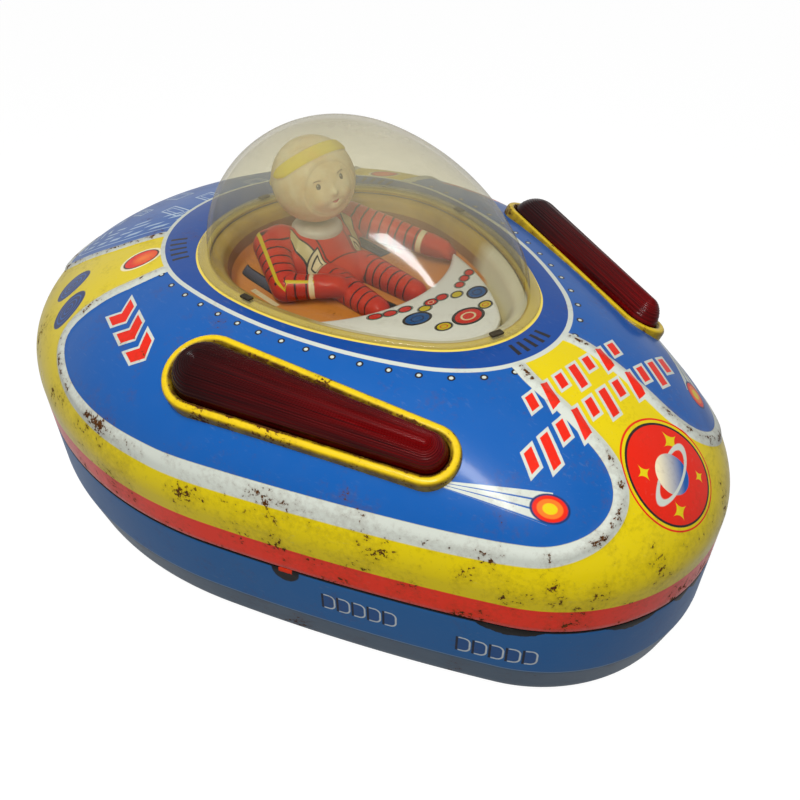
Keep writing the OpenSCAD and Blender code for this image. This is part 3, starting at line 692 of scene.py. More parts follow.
tray = dict(floor=shell["deck"] - 11.5, rim=shell["deck"] - 1.05, under=0.95, middle=2, columns=160)
dash = dict(
    rise=0.034, pivot=18, inset=9.6, hollow=40.0, hollowX=-22.0, low=tray["floor"] + 0.06, high=tray["floor"] + 5.5,
    level=3, face=5.42,   # heights from which it slopes and at which the dial rings lie
    profile=((3.0, 0), (2.9, 1.5), (0.2, 1.9), (0.0, 3.8), (0.25, 4.7), (0.9, 5.25), (1.8, 5.44)), columns=220,
)
bezel = dict(Ring=1.1 * mm, Wire=0.13 * mm, Steps=40, Sides=10)
dials = (   # x, y, length, width in mm and the ink
    (19.0, -12.9, 3.4, 2.2, "red"), (20.5, -9.1, 3.4, 2.2, "red"), (21.7, -4.9, 3.4, 2.2, "red"),
    (27.3, -5.9, 7.0, 4.6, "blue"), (25.0, -1.0, 3.4, 2.2, "yellow"), (34.7, -3.8, 4.0, 2.9, "yellow"),
    (23.8, 2.4, 3.6, 2.4, "red"), (23.9, 6.3, 3.4, 2.2, "red"), (25.7, 10.2, 3.4, 2.2, "yellow"),
    (35.5, 4.2, 8.4, 5.8, "red"), (28.6, 14.9, 6.2, 4.2, "blue"), (34.6, 11.6, 3.8, 2.6, "yellow"),
    (22.5, 14.6, 3.0, 2.0, "red"), (20.8, 18.2, 3.2, 2.1, "red"), (19.4, 21.6, 3.2, 2.1, "red"),
)


def buildTray():
    turns = evenTurns(tray["columns"])
    b, z, under, middle = (tray[k] for k in ("floor", "rim", "under", "middle"))
    profile = [   # out and height, along the top and back underneath
        (-30, b), (-20, b), (-12, b), (-10.6, b + 0.25), (-9.4, b + 0.9), (-8.8, b + 2.2),
        (-7.2, z - 2), (-6.6, z - 0.7), (-5.8, z - 0.1), (-5, z), (-0.7, z), (-0.7, z - 0.9),
        (-5.2, z - under), (-6.3, z - 2), (-8.4, b + 1), (-11.7, b - under)]
    profile.reverse()
    rings = [level(outlineAt(cockpit, turns, out), height) for out, height in profile]
    points, faces = fanEnded(rings, (middle, 0, b - under), (middle, 0, b))
    wallMark = np.concatenate([np.repeat([height for out, height in profile], len(turns)), [b, b]])
    return makePiece("cockpitTray", points, faces, 50, dict(wallMark=wallMark))


def dashPlan(inset):   # outline of the dash, counterclockwise from its right rear corner
    front = outlineAt(cockpit, np.linspace(-100, 100, 141), -inset)
    radius = dash["hollow"] + inset - dash["inset"]
    apart = np.hypot(front[:, 0] - dash["hollowX"], front[:, 1]) - radius
    front = front[(apart > 0) & (front[:, 0] > 0)]
    low, high = (math.atan2(p[1], p[0] - dash["hollowX"]) for p in (front[0], front[-1]))
    arc = np.linspace(high, low, 90)[1:-1]
    return np.concatenate([front, np.stack([dash["hollowX"] + radius * np.cos(arc), radius * np.sin(arc)], -1)])


def evenLoop(plan, count):
    closed = np.concatenate([plan, plan[:1]])
    run = runAlong(closed)
    spots = np.arange(count) / count * run[-1]
    return np.stack([np.interp(spots, run, closed[:, k]) for k in (0, 1)], -1)


def buildDash():
    rings = []
    for inset, z in dash["profile"]:
        loop = evenLoop(dashPlan(dash["inset"] + inset), dash["columns"])
        lift = (z > dash["level"]) * (loop[:, :1] - dash["pivot"]) * dash["rise"]
        rings.append(np.concatenate([loop, dash["low"] + z + lift], 1))
    return makePiece("dashPanel", np.concatenate(rings), flatEnded(len(rings), dash["columns"]), 35)


def dialTurn(x, y): return math.atan2(y, x - dash["hollowX"])


def buildBezels():   # a pressed ring round every dial
    high = dash["low"] + dash["face"]
    guide = makePiece("dialSpots", [(x, y, high + (x - dash["pivot"]) * dash["rise"]) for x, y, *rest in dials], [])
    lean = -math.atan(dash["rise"])
    turns = [(lean * math.sin(a), lean * math.cos(a), a) for a in (dialTurn(x, y) for x, y, *rest in dials)]
    spans = [(width / 2, length / 2, 1.0) for x, y, length, width, ink in dials]
    addMarks(guide.data, dict(dialTurn=turns, dialSpan=spans), "FLOAT_VECTOR", "vector")
    g = Growth("dialRings", **bezel)
    ring, wire = (
        g.add("GeometryNodeCurvePrimitiveCircle", None, {"Resolution": g.size(count), "Radius": g.size(radius)})
        for count, radius in (("Steps", "Ring"), ("Sides", "Wire")))
    loop = g.add("GeometryNodeCurveToMesh", None, {0: ring, 1: wire})
    sockets = {"Points": g.source, "Instance": loop, "Rotation": g.spread("dialTurn"), "Scale": g.spread("dialSpan")}
    piece = g.grow(g.add("GeometryNodeInstanceOnPoints", None, sockets), guide, "bezelInk", "dialBezels")
    piece.data.shade_smooth()
    return piece


cockpitTray = seat(buildTray(), "base", "tin_tray", "cockpit_tray")
dashPanel = seat(buildDash(), "base", "tin_dash", "dash_panel")
dialBezels = seat(buildBezels(), "base", "tin_dash")
print("cockpit: tray, dash and", len(dials), "dials")


# pilot

pilot = dict(
    head=(float(middleOf("pilot_head")[0]), 0.0, shell["deck"] + 15), radius=12.0, turn=-8.5, lift=3.0, roll=11.0,
    trunk=(((-21, 0, 61.6), (11, 13.4, 9.9)), ((-13, 0, 59.6), (10, 10, 6.0))), shoulder=(-23.8, 11, 66.3),
    shoulderSize=6.2, voxel=0.00055, chest=(-17.5, 0, 61.5), chestSize=(13.5, 14.0, 9.4), chestReach=9,
    kinds=dict(arm=1, glove=2, leg=3), rest=0.1,
)
limbs = (   # from, to, radii and the part it belongs to: right arm, left arm, legs
    ((-24.5, -14.2, 67.2), (-10, -20, 62.0), 4.9, 4.1, "arm"),
    ((-10, -20, 62.0), (-4.2, -14.2, 62.5), 4.1, 3.3, "arm"),
    ((-3.4, -13.2, 62.6), (0.2, -9.8, 62.6), 3.5, 3.0, "glove"),
    ((-24, 14.2, 67.2), (-11, 21, 64.6), 4.9, 4.1, "arm"), ((-11, 21, 64.6), (-1.2, 25.0, 63.2), 4.1, 3.3, "arm"),
    ((-0.2, 25.4, 63.0), (3.6, 26.8, 62.4), 3.5, 3.0, "glove"),
    ((-8, -6, 60.0), (13, -6.8, 59.8), 4.6, 3.5, "leg"), ((-8, 6, 60.0), (13, 6.8, 59.8), 4.6, 3.5, "leg"),
)
swells = (   # of the face: across and up in degrees, their spans, and height in mm
    (0, -3, 5, 5.0, 0.9), (0, 4, 3.4, 7, 0.25),
    (-20, -12, 11, 10, 0.75), (-20, 12, 8, 6, -0.35), (-20, 21, 9, 4, 0.2),
    (20, -12, 11, 10, 0.75), (20, 12, 8, 6, -0.35), (20, 21, 9, 4, 0.2),
    (0, -25, 10, 6, 0.6), (0, -16.5, 8, 1.6, -0.2), (0, -13.5, 5, 1.8, 0.15), (0, -19.2, 4.5, 1.8, 0.15),
)
fingers = dict(spread=2.0, close=1.7, long=3.2, drop=0.8, radii=(1.3, 1.0))
thumb = dict(root=(2.6, 1.2), tip=(2.8, 1.5), radii=(1.2, 1.0))   # outward and up from the palm
face = dict(   # degrees from its middle and heights in mm; the band runs over the forehead, in shares of the radius
    opening=40, edge=1.8, deep=0.4, rim=43.5, rimSpan=3.5, rimHigh=0.12, skin=0.3,
    bandUp=0.808, bandFore=0.589, bandOff=0.341, bandEnd=0.76, bandHalf=0.15, bandSoft=0.012, bandLow=0.1, bandHigh=0.5,
)
collar = (   # radius and height
    (0.5, 67.9), (6.6, 67.9), (7.3, 68.4), (7.45, 69.3), (7.2, 70.4), (6.4, 71.3), (5.2, 71.8), (0.5, 71.85),
)


def addBall(mesh, fine, centre, radii):
    spot = Matrix.Translation(centre) @ Matrix.Diagonal((*radii, 1))
    bmesh.ops.create_icosphere(mesh, subdivisions=fine, radius=1, matrix=spot)


def roundLimb(mesh, p, q, a, b):
    p, q = Vector(p), Vector(q)
    spot = Matrix.Translation((p + q) / 2) @ (q - p).to_track_quat("Z", "Y").to_matrix().to_4x4()
    depth = (q - p).length
    bmesh.ops.create_cone(mesh, segments=28, radius1=a, radius2=b, depth=depth, cap_ends=True, matrix=spot)
    for centre, radius in ((p, a), (q, b)):
        addBall(mesh, 3, centre, (radius, radius, radius))


def addFingers(mesh, p, q):   # three fingers and a thumb
    p, q, up = Vector(p), Vector(q), Vector((0, 0, 1))
    ahead = (q - p).normalized()
    across = ahead.cross(up)
    for k in (-1, 0, 1):
        root = q + across * (fingers["spread"] * k) + up
        tip = q + ahead * fingers["long"] + across * (fingers["close"] * k) - up * fingers["drop"]
        roundLimb(mesh, root, tip, *fingers["radii"])
    outward = -across if p.y < 0 else across
    root, tip = (at + outward * out + up * high for at, (out, high) in ((p, thumb["root"]), (q, thumb["tip"])))
    roundLimb(mesh, root, tip, *thumb["radii"])


def limbMarks(points):   # run along the nearest limb, turn round it and its kind
    count = len(points)
    best = (np.sqrt((((points - pilot["chest"]) / pilot["chestSize"]) ** 2).sum(1)) - 1) * pilot["chestReach"]
    run, turn, kindMark, before = np.full(count, -20.0), np.zeros(count), np.zeros(count), 0.0
    for p, q, a, b, kind in limbs:
        p, q = np.array(p), np.array(q)
        length = np.linalg.norm(q - p)
        axis = (q - p) / length
        along = np.clip((points - p) @ axis, 0, length)
        spoke = points - p - along[:, None] * axis
        gap = np.linalg.norm(spoke, axis=1) - (a + (b - a) * along / length)
        sideways = np.cross(axis, (0, 0, 1))
        sideways *= (1 if p[1] > 0 else -1) / np.linalg.norm(sideways)
        angle = np.degrees(np.arctan2(spoke @ sideways, spoke[:, 2]))
        near = gap < best
        best, turn, run, kindMark = (np.where(near, new, old) for new, old in (
            (gap, best), (angle, turn), (along + before, run), (pilot["kinds"][kind], kindMark)))
        before = before + length if kind == "arm" and before == 0 else 0.0
    return dict(limbRun=run, limbTurn=turn, limbKind=kindMark)


def buildPilot():
    data = bpy.data.meshes.new("pilotBlank")
    x, y, z = pilot["shoulder"]
    size = pilot["shoulderSize"]
    with editing(data) as mesh:
        for centre, radii in pilot["trunk"]:
            addBall(mesh, 5, centre, radii)
        for side in (-1, 1):
            addBall(mesh, 4, (x, y * side, z), (size, size, size))
        for p, q, a, b, kind in limbs:
            roundLimb(mesh, p, q, a, b)
            if kind == "glove":
                addFingers(mesh, p, q)
        for v in mesh.verts:
            v.co *= mm
    piece = placed("pilotBlank", data)
    skin = piece.modifiers.new("skin", "REMESH")
    skin.mode, skin.voxel_size = "VOXEL", pilot["voxel"]
    soften = piece.modifiers.new("soften", "SMOOTH")
    soften.factor, soften.iterations = 0.5, 4
    made = baked(piece, "pilotBody")
    points = vertsOf(made.data) / mm
    points[:, 2] = np.maximum(points[:, 2], tray["floor"] + pilot["rest"])   # on the tray
    moveVerts(made.data, points)
    addMarks(made.data, limbMarks(points))
    made.data.shade_smooth()
    return made


def buildHead():
    data = bpy.data.meshes.new("pilotHead")
    with editing(data) as mesh:
        bmesh.ops.create_icosphere(mesh, subdivisions=7, radius=1)
    way = vertsOf(data)
    turn, lift, roll = (math.radians(pilot[k]) for k in ("turn", "lift", "roll"))
    fore = np.array([math.cos(turn) * math.cos(lift), math.sin(turn) * math.cos(lift), math.sin(lift)])
    side = np.array([-math.sin(turn), math.cos(turn), 0])
    left = side * math.cos(roll) + np.cross(fore, side) * math.sin(roll)
    f, s, u = way @ fore, way @ left, way @ np.cross(fore, left)
    across, upward = np.degrees(np.arctan2(s, np.maximum(f, 1e-3))), np.degrees(np.arcsin(np.clip(u, -1, 1)))
    away = np.degrees(np.arccos(np.clip(f, -1, 1)))
    bulge = face["rimHigh"] * np.exp(-(((away - face["rim"]) / face["rimSpan"]) ** 2))
    bulge -= face["deep"] / (1 + np.exp((away - face["opening"]) / face["edge"]))
    for a, e, wide, tall, height in swells:
        bulge += np.where(f > 0, height * np.exp(-(((across - a) / wide) ** 2) - ((upward - e) / tall) ** 2), 0)
    bandWay = face["bandUp"] * u - face["bandFore"] * f - face["bandOff"]
    ends = np.clip(np.abs(s) - face["bandEnd"], 0, 1)   # round at its ends
    band = 1 / (1 + np.exp((np.hypot(bandWay, ends) - face["bandHalf"]) / face["bandSoft"])) * (u > face["bandLow"])
    radius = pilot["radius"] - face["skin"] + bulge + face["bandHigh"] * band
    moveVerts(data, np.array(pilot["head"]) + way * radius[:, None])
    addMarks(data, dict(faceAcross=np.where(f > 0, across, 180), faceUp=upward, faceAway=away, bandMark=band))
    data.shade_smooth()
    return placed("pilotHead", data)


def buildCollar(columns=64):
    turn = np.linspace(0, 2 * math.pi, columns + 1)[:-1]
    rings = [level(np.stack([pilot["head"][0] + r * np.cos(turn), r * np.sin(turn)], -1), z) for r, z in collar]
    return makePiece("neckCollar", np.concatenate(rings), stackFaces(len(rings), columns, True))


pilotBody = seat(buildPilot(), "base", "tin_suit", "pilot_body")
pilotHead = seat(buildHead(), "head", "head_vinyl", "pilot_head")
neckCollar = seat(buildCollar(), "base", "collar_white", "neck_collar")
print("pilot:", len(pilotBody.data.polygons), "faces on the body and", len(pilotHead.data.polygons), "on the head")


# inks and wear shared by the printed tin

inks = dict(
    blue=tone(8, 86, 164), ring=tone(0, 66, 144), yellow=tone(224, 200, 0), white=tone(202, 207, 196),
    red=tone(226, 32, 4), black=tone(20, 19, 24), cream=tone(240, 228, 190), orange=tone(240, 118, 28),
    navy=tone(18, 44, 96), pan=tone(36, 95, 153), rust=tone(92, 54, 20), soot=tone(50, 31, 14),
    floor=tone(226, 150, 70), suit=tone(206, 40, 8), dash=tone(246, 249, 255), dust=tone(150, 156, 150),
    # gap: a near-black painted shadow for gaps and holes
    vinyl=tone(255, 243, 204), gap=tone(16, 13, 12), maroon=tone(70, 10, 6), brass=tone(196, 164, 62),
    stripe=tone(238, 46, 10), flange=tone(238, 214, 92), backing=tone(120, 116, 106), tab=tone(214, 50, 18),
)
noises = dict(   # scale per mm, detail and roughness
    patch=(0.04, 3, 0.6), spot=(0.12, 2, 0.5), dent=(0.16, 2, 0.5), grain=(0.8, 5, 0.68), fine=(2.6, 2, 0.5),
)
aged = dict(   # where each kind of wear begins and is full, and its share
    chip=(1.485, 1.535), stain=(1.14, 1.5), speck=(0.63, 0.71), speckShare=0.3, dull=0.012, scuff=0.1,
    streak=(0.3, 1.0, 1.6), coatRough=0.12, specular=0.1, bump=0.3, bumpDeep=0.00014,
)


def wear(f, vector, edge=0.0, rough=0.24, coat=0.16, grime=0.3):   # chips, stains and dulled gloss over a print
    patch, spot, dent, grain, fine = (f.noise(vector, *values) for values in noises.values())
    chip = (grain + 0.85 * spot + 0.35 * patch + 0.24 * edge + 0.12 * fine).ramp(*aged["chip"])
    stain = (grain * 0.8 + 0.7 * spot + 0.6 * patch + 0.22 * edge).ramp(*aged["stain"])
    streak = f.vectors("MULTIPLY", vector, aged["streak"])
    scuff = f.noise(streak, 1.1, 3, 0.6).ramp(0.6, 0.72) * patch.ramp(0.42, 0.6)
    f.lay(dent.ramp(0.4, 0.7) * aged["dull"] + scuff * aged["scuff"], "dust")
    f.lay((fine * 0.6 + grain * 0.4).ramp(*aged["speck"]) * aged["speckShare"], "rust")
    f.lay(stain * grime, "rust")
    f.lay(chip, f.mix(fine.ramp(0.45, 0.66), inks["rust"], inks["soot"]))
    f.set("Base Color", f.colour)
    f.set("Roughness", rough + 0.12 * patch + 0.1 * stain + 0.4 * chip)
    f.set("Coat Weight", (coat - coat * (chip + stain * 0.5)).clamped())
    f.set("Coat Roughness", aged["coatRough"])
    f.set("Specular IOR Level", aged["specular"])
    f.bump(dent * 1.6 + fine * 0.12 + grain * 0.3 - chip, aged["bump"], aged["bumpDeep"])
    return f


def spotFrame(turn, height):   # a point of the crown with its tangents round the outline and down the slope
    step = 0.05
    along = crownSpot(turn + step, height) - crownSpot(turn - step, height)
    down = crownSpot(turn, height - step) - crownSpot(turn, height + step)
    return crownSpot(turn, height), along / np.linalg.norm(along), down / np.linalg.norm(down)


def repeated(u, pitch, count):   # place within the nearest of a short run of copies, and which copy
    spare = 0.5 if count % 2 == 0 else 0.0
    limit = (count - 1) / 2
    copy = ((u / pitch + spare).whole() - spare).most(-limit).least(limit)
    return u - copy * pitch, copy


def oval(u, v, middle, radii): return ((u - middle[0]) / radii[0]).away((v - middle[1]) / radii[1])


def outlined(f, shape, width, where):   # a red shape with a white outline
    f.lay((shape - width).inside() * where, "white")
    f.lay(shape.inside() * where, "red")


# print on the shell, in mm

rearPrint = dict(   # lines by their place within the deck bead, half width and dashes; plates by middle and half sizes
    line=tone(156, 182, 208), edge=tone(170, 192, 214), border=(-3.1, 0.15), rims=((-0.3, 0.26), (-1.5, 0.14)),
    dashes=((-4.7, 0.42, 0.24, 0.0, 0.6), (-6.4, 0.3, 0.2, 0.3, 0.5), (-8.0, 0.3, 0.15, 0.0, 0.5),
            (-9.6, 0.3, 0.2, 0.6, 0.5)),
    plates=((-64, 9.0, 5.6, 3.0), (-64, 22.0, 5.0, 2.6), (-80, 12.0, 4.2, 3.4), (-79, 26.0, 3.4, 2.4)),
)
ports = dict(   # each by turn, height, half width and half height, then their rings in shares of that
    lamp=(121.0, 67.2, 4.2, 4.6), dark=((118.0, 59.2, 4.4, 5.6), (108.75, 58.1, 4.6, 5.8)),
    lampRings=((1.16, "cream"), (1.0, "black")), glow=0.9, fade=(0.1, 0.8), hoops=4.2, hoopShare=0.26, hoopReach=0.94,
)
chevrons = dict(turn=90.3, height=63.6, x=-14.6, slope=0.75, pitch=7.6, count=3, half=1.9, tall=3.5, outline=0.8)
comet = dict(
    head=(88.0, 27.3, 56.2), tip=(72.5, 37.6, 57.8), turn=45, height=57, half=3.3, taper=0.12, core=(3.6, 2.6),
    rings=((1.15, "navy"), (1.0, "red"), (0.74, "orange"), (0.42, "yellow")), strands=1.5, strandShare=0.8,
)
bars = dict(   # rows by place, count and half height
    rows=((72.4, 7, 3.1), (81.0, 11, 3.3)), stretch=1.06, slant=0.4, pitch=4.9, half=1.15, short=1.3, outline=0.7,
)
roundel = dict(
    centre=(98.4, 0, 55.3), down=(0.541, 0, -0.841), planet=4.3, hoop=(8.2, 2.7), hoopLine=(0.9, 0.11),
    rings=((11.9, "red"), (11.5, "yellow"), (10.9, "black"), (10.4, "red")), lean=(0.93, 0.36), hollow=0.55,
    sparks=((5.4, -5.0, 2.6), (-6.2, -3.6, 1.9), (-3.6, 6.6, 2.3), (6.6, 4.0, 1.6)),
)
rearTicks = float(runAlong(ringPath)[np.argmin(np.linalg.norm(ringPath - (-40, 40), axis=1))])
cockpitField = dict(   # ticks by place along the ring, pitch and half length
    line=0.62, dotPitch=6.7, dotOut=2.3, dots=((0.86, "black"), (0.44, "white")),
    ticks=((0.0, 2.9, 2.0), (rearTicks, 3.3, 2.3)), tickIn=-4.3, tickHalf=0.62, tickCount=5,
)


def printRear(f, x, y, deck, rear):
    lines = deck.beyond(*rearPrint["border"]).inside()
    for middle, half, pitch, phase, share in rearPrint["dashes"]:
        dashes = ((x * pitch + phase).fraction() - share).inside(0.04)
        lines = lines.most(deck.beyond(middle, half).inside() * dashes)
    f.lay(lines * rear, rearPrint["line"])
    for along, aside, long, wide in rearPrint["plates"]:
        plate = x.beyond(along, long).most(abs(y).beyond(aside, wide))
        outer, inner = (plate.beyond(*strip).inside() for strip in rearPrint["rims"])
        f.lay(outer.most(inner) * rear, rearPrint["edge"])


def printPorts(f, folded):
    def spread(turn, height, wide, tall):
        here, along, down = spotFrame(turn, height)
        v = f.dot(folded, here, down)
        return (f.dot(folded, here, along) / wide).away(v / tall), v
    reach, v = spread(*ports["lamp"])   # a printed lamp in the yellow band
    for size, ink in ports["lampRings"]:
        f.lay((reach - size).inside(0.03), ink)
    glow = f.mix((reach + v * 0.08).ramp(*ports["fade"]), inks["orange"], inks["red"])
    f.lay((reach - ports["glow"]).inside(0.03), glow)
    for port in ports["dark"]:   # dark ports with fine rings
        reach = spread(*port)[0]
        hoops = ((reach * ports["hoops"]).fraction() - ports["hoopShare"]).inside(0.05)
        f.lay((reach - 1).inside(0.03), "navy")
        f.lay(hoops * (reach - ports["hoopReach"]).inside(0.03), "blue")


def printChevrons(f, folded, side):
    here, down = spotFrame(chevrons["turn"], chevrons["height"])[::2]
    u, v = f.dot(folded, (chevrons["x"], here[1], here[2]), (1, 0, 0)), abs(f.dot(folded, here, down))
    local = repeated(u + v * chevrons["slope"], chevrons["pitch"], chevrons["count"])[0]
    outlined(f, (abs(local) - chevrons["half"]).most(v - chevrons["tall"]), chevrons["outline"], side)


def printComet(f, folded, side):
    head, tip = np.array(comet["head"]), np.array(comet["tip"])
    along = (tip - head) / np.linalg.norm(tip - head)
    around, down = spotFrame(comet["turn"], comet["height"])[1:]
    across = np.cross(np.cross(around, down), along)
    u, v = f.dot(folded, head, along), f.dot(folded, head, across / np.linalg.norm(across))
    half = comet["half"] - u * comet["taper"]
    strands = (((v / half) * comet["strands"] + 0.5).fraction() - comet["strandShare"]).inside()
    f.lay((abs(v) - half).most(-u).inside(0.08) * strands * u.over(0.0) * side, "white")
    core = (u / comet["core"][0]).away(v / comet["core"][1])
    for size, ink in comet["rings"]:
        f.lay((core - size).inside(0.04) * side, ink)


def printBars(f, x, y, front):   # two rows across the nose, every other bar short
    for where, count, tall in bars["rows"]:
        v = (x - where) * bars["stretch"]
        local, copy = repeated(y + v * bars["slant"], bars["pitch"], count)
        short = ((copy * 0.5).fraction() * 2).over(0.5) * bars["short"]
        outlined(f, (abs(local) - bars["half"]).most(abs(v + short) - tall + short), bars["outline"], front)


def printRoundel(f, folded, u, front):   # a ringed planet among sparkles
    v = f.dot(folded, roundel["centre"], roundel["down"])
    away, power, (c, s) = u.away(v), roundel["hollow"], roundel["lean"]
    for size, ink in roundel["rings"]:
        f.lay((away - size).inside() * front, ink)
    for across, down, size in roundel["sparks"]:
        f.lay((abs(u - across) ** power + abs(v - down) ** power - size ** power).inside() * front, "yellow")
    a, b = u * c - v * s, u * s + v * c
    planet = (away - roundel["planet"]).inside()
    f.lay(planet * front, f.mix((a * 0.6 + b).ramp(-4, 3.4), inks["cream"], inks["blue"]))
    hoop = (a / roundel["hoop"][0]).away(b / roundel["hoop"][1])
    f.lay(hoop.beyond(*roundel["hoopLine"]).inside(0.02) * (1 - planet * (-b).over(0.0)) * front, "white")


def printField(f, ring, run, side):   # field round the cockpit, its line, dots and ticks
    pitch = cockpitField["dotPitch"]
    f.lay((ring - 0.1).inside(), "ring")
    f.lay((abs(ring) - cockpitField["line"]).inside(), "white")
    dot = ((run / pitch).fraction() * pitch - pitch / 2).away(ring - cockpitField["dotOut"])
    for size, ink in cockpitField["dots"]:
        f.lay((dot - size).inside(0.08) * side, ink)
    for centre, pitch, reach in cockpitField["ticks"]:
        local = repeated(run - centre, pitch, cockpitField["tickCount"])[0]
        tick = (abs(local) - cockpitField["tickHalf"]).most(ring.beyond(cockpitField["tickIn"], reach))
        f.lay(tick.inside(), "black")


def printShell():
    f = Finish("tinShellPrint")
    folded, x, y, z = f.place(True)
    panel, deck, ring, run, flange, hidden, ridge = (f.mark(k) for k in (
        "panelMark", "deckMark", "ringMark", "ringRun", "flangeMark", "insideMark", "ridgeMark"))
    side, rear, front = (panel + 1).inside(0.05), (deck + 1).inside(0.05), x.ramp(58, 60)
    f.colour = inks["yellow"]
    f.lay(side.most(rear), "blue")
    printRear(f, x, y, deck, rear)
    f.lay((abs(panel) - 1).inside(0.05).most((abs(deck) - 1).inside(0.05)), "white")
    printPorts(f, folded)
    printChevrons(f, folded, side)
    printComet(f, folded, side)
    printBars(f, x, y, front)
    printRoundel(f, folded, y, front)
    printField(f, ring, run, side)
    f.lay((flange - 0.5).inside(0.1), f.mix((flange + 3.1).inside(0.3), inks["flange"], inks["brass"]))
    f.lay((z - shell["stripe"]).inside(), "stripe")
    f.lay(hidden.over(0.5), "backing")
    skirt, brim, rearward = (z - 50).inside(6.0), (z - shell["seam"] - 1.3).inside(0.9), (x - 60).inside(60)
    return wear(f, folded, ridge + skirt * 0.6 + brim * 0.2 + rearward * 0.1, grime=0.42)


# print on the pan, with painted shade and a painted highlight, in mm

# low: a darker, greyer blue below the bend, painted shade on the tapered wall; line: a painted highlight along the
# bend; brim: the least depth of the painted shadow under the seam
panPrint = dict(low=tone(48, 78, 103), line=tone(150, 176, 196), highlightUp=0.1, highlightHalf=0.12, highlightShare=0.5, brim=0.3)
louvres = dict(   # groups by x and height
    groups=((88.1, 19.3), (60.5, 21.5), (-66.0, 21.5)), pitch=3.72, count=5, round=1.6, tall=0.9, flat=1.75,
    field=tone(36, 78, 132), edge=tone(196, 204, 206), slot=tone(18, 26, 44), edgeHalf=0.2, edgeEnd=1.15, slotFrom=1.2,
)
seamGapShadows = ((96.0, 83.0, 2.1), (108.6, 103.6, 2.0), (110.0, 109.4, 1.9))   # from x, to x and depth of the painted shadow under the seam
tabSlots = dict(turns=(63, 150), shift=3, middle=(0, 0.4), radii=(3.5, 3.6), tabHalf=1.7, tabDeep=1.1)


def printLouvres(f, z, run):
    wall = (z - pan["bend"] - 1).over(0.0)
    for middle, height in louvres["groups"]:
        local = repeated(run - panRunAt(middle), louvres["pitch"], louvres["count"])[0]
        bow = ((-local - 0.1).most(0.0)).away((abs(z - height) - louvres["tall"]).most(0.0)) - louvres["round"]
        box = bow.most(local - louvres["flat"])   # round at the front end
        edge = box.beyond(-louvres["edgeHalf"], louvres["edgeHalf"]).inside(0.07)
        f.lay(box.inside() * wall, louvres["field"])
        f.lay(edge * (local - louvres["edgeEnd"]).inside(0.1) * wall, louvres["edge"])
        f.lay(box.inside() * (louvres["slotFrom"] - local).inside() * wall, louvres["slot"])


def printPan():
    f = Finish("tinPanPrint")
    folded, *_, z = f.place(True)
    run = f.mark("panRun")
    # painted shade: below the bend the wall is laid in a darker, greyer blue
    low = (z - pan["bend"]).inside(0.25)
    # a painted highlight along the bend
    line = (z - pan["bend"]).beyond(panPrint["highlightUp"], panPrint["highlightHalf"]).inside(0.1)
    f.colour = inks["pan"]
    f.lay(low, panPrint["low"])
    f.lay(line * panPrint["highlightShare"], panPrint["line"])
    printLouvres(f, z, run)
    drop, ragged = panPrint["brim"], f.noise(folded, 0.5, 3, 0.6) - 0.5
    for first, last, deep in seamGapShadows:   # painted shadow in the gap where the shell has sprung off the pan
        start, stop = panRunAt(first), panRunAt(last)
        share = (run - (start + stop) / 2) / ((stop - start) / 2)
        drop = ((1 - share * share) * deep + ragged * 1.2).most(drop)
    v = pan["step"] - z
    brim = (v - drop).inside(0.12)
    # the strip under the seam is painted shadow
    f.lay(brim, "gap")
    for turn in tabSlots["turns"]:   # slots with a folded tab, their holes painted dark as shadow
        u = run - (panRunAt(float(outlineAt(body, turn)[0])) + tabSlots["shift"])
        hole = (oval(u, v + ragged * 0.72, tabSlots["middle"], tabSlots["radii"]) - 1).inside(0.05)
        tab = (abs(u) - tabSlots["tabHalf"]).most(v - tabSlots["tabDeep"] + ragged * 0.8)
        brim = brim.most(hole)
        f.lay(hole, "gap")
        f.lay(tab.inside(0.08), "tab")
    return wear(f, folded, low * 0.35 - brim * 1.5, rough=0.34, coat=0.05, grime=0.4)


printShell().on(upperShell)
printPan().on(lowerPan)
print("printed tin: shell and pan")


# lights, canopy and cockpit finishes

# the dark edge ink is wear and painted shade: inside, the gap against the lens; outside, dirt
rimPaint = dict(yellow=tone(226, 192, 16), wornAndShaded=tone(70, 46, 12), inner=0.8, outer=2.15, outerShare=0.75)   # mm across
lensRed = dict(   # tones at the rear and the front, run in mm from the rear end; darker at the rear and brighter at the front, painted shade and light, with a painted highlight towards the front of the crown
    deep=(tone(14, 0, 1), tone(44, 1, 2)), bright=(tone(54, 1, 2), tone(138, 2, 4)), grooveShade=tone(26, 1, 3),
    rearShadeFrontLight=(-4, 56), paintedHighlight=(-6, 58), glow=0.2, streak=(0.36, 0.92), grooveShadeShare=0.22,
    along=0.035, across=26, aside=7,   # scale of the streaks
)


def finishRim():
    f = Finish("rimPaint")
    vector = f.place()[0]
    lip, depth = f.mark("lipMark"), f.mark("depthMark")
    outer = (-lip + rimPaint["outer"]).inside(0.2) * rimPaint["outerShare"]
    # a dark inner edge, wear and painted shade of the gap against the lens, and a dirty outer edge
    wornAndShaded = (lip - rimPaint["inner"]).inside(0.25).most(outer)
    f.colour = rimPaint["yellow"]
    f.lay(wornAndShaded * (0.55 + 0.45 * f.noise(vector, 0.3, 3, 0.6).ramp(0.3, 0.6)), rimPaint["wornAndShaded"])
    return wear(f, vector, 0.3 + (depth - 0.35).ramp(0.4, 1.1) * 0.35 + wornAndShaded * 0.9, rough=0.3)


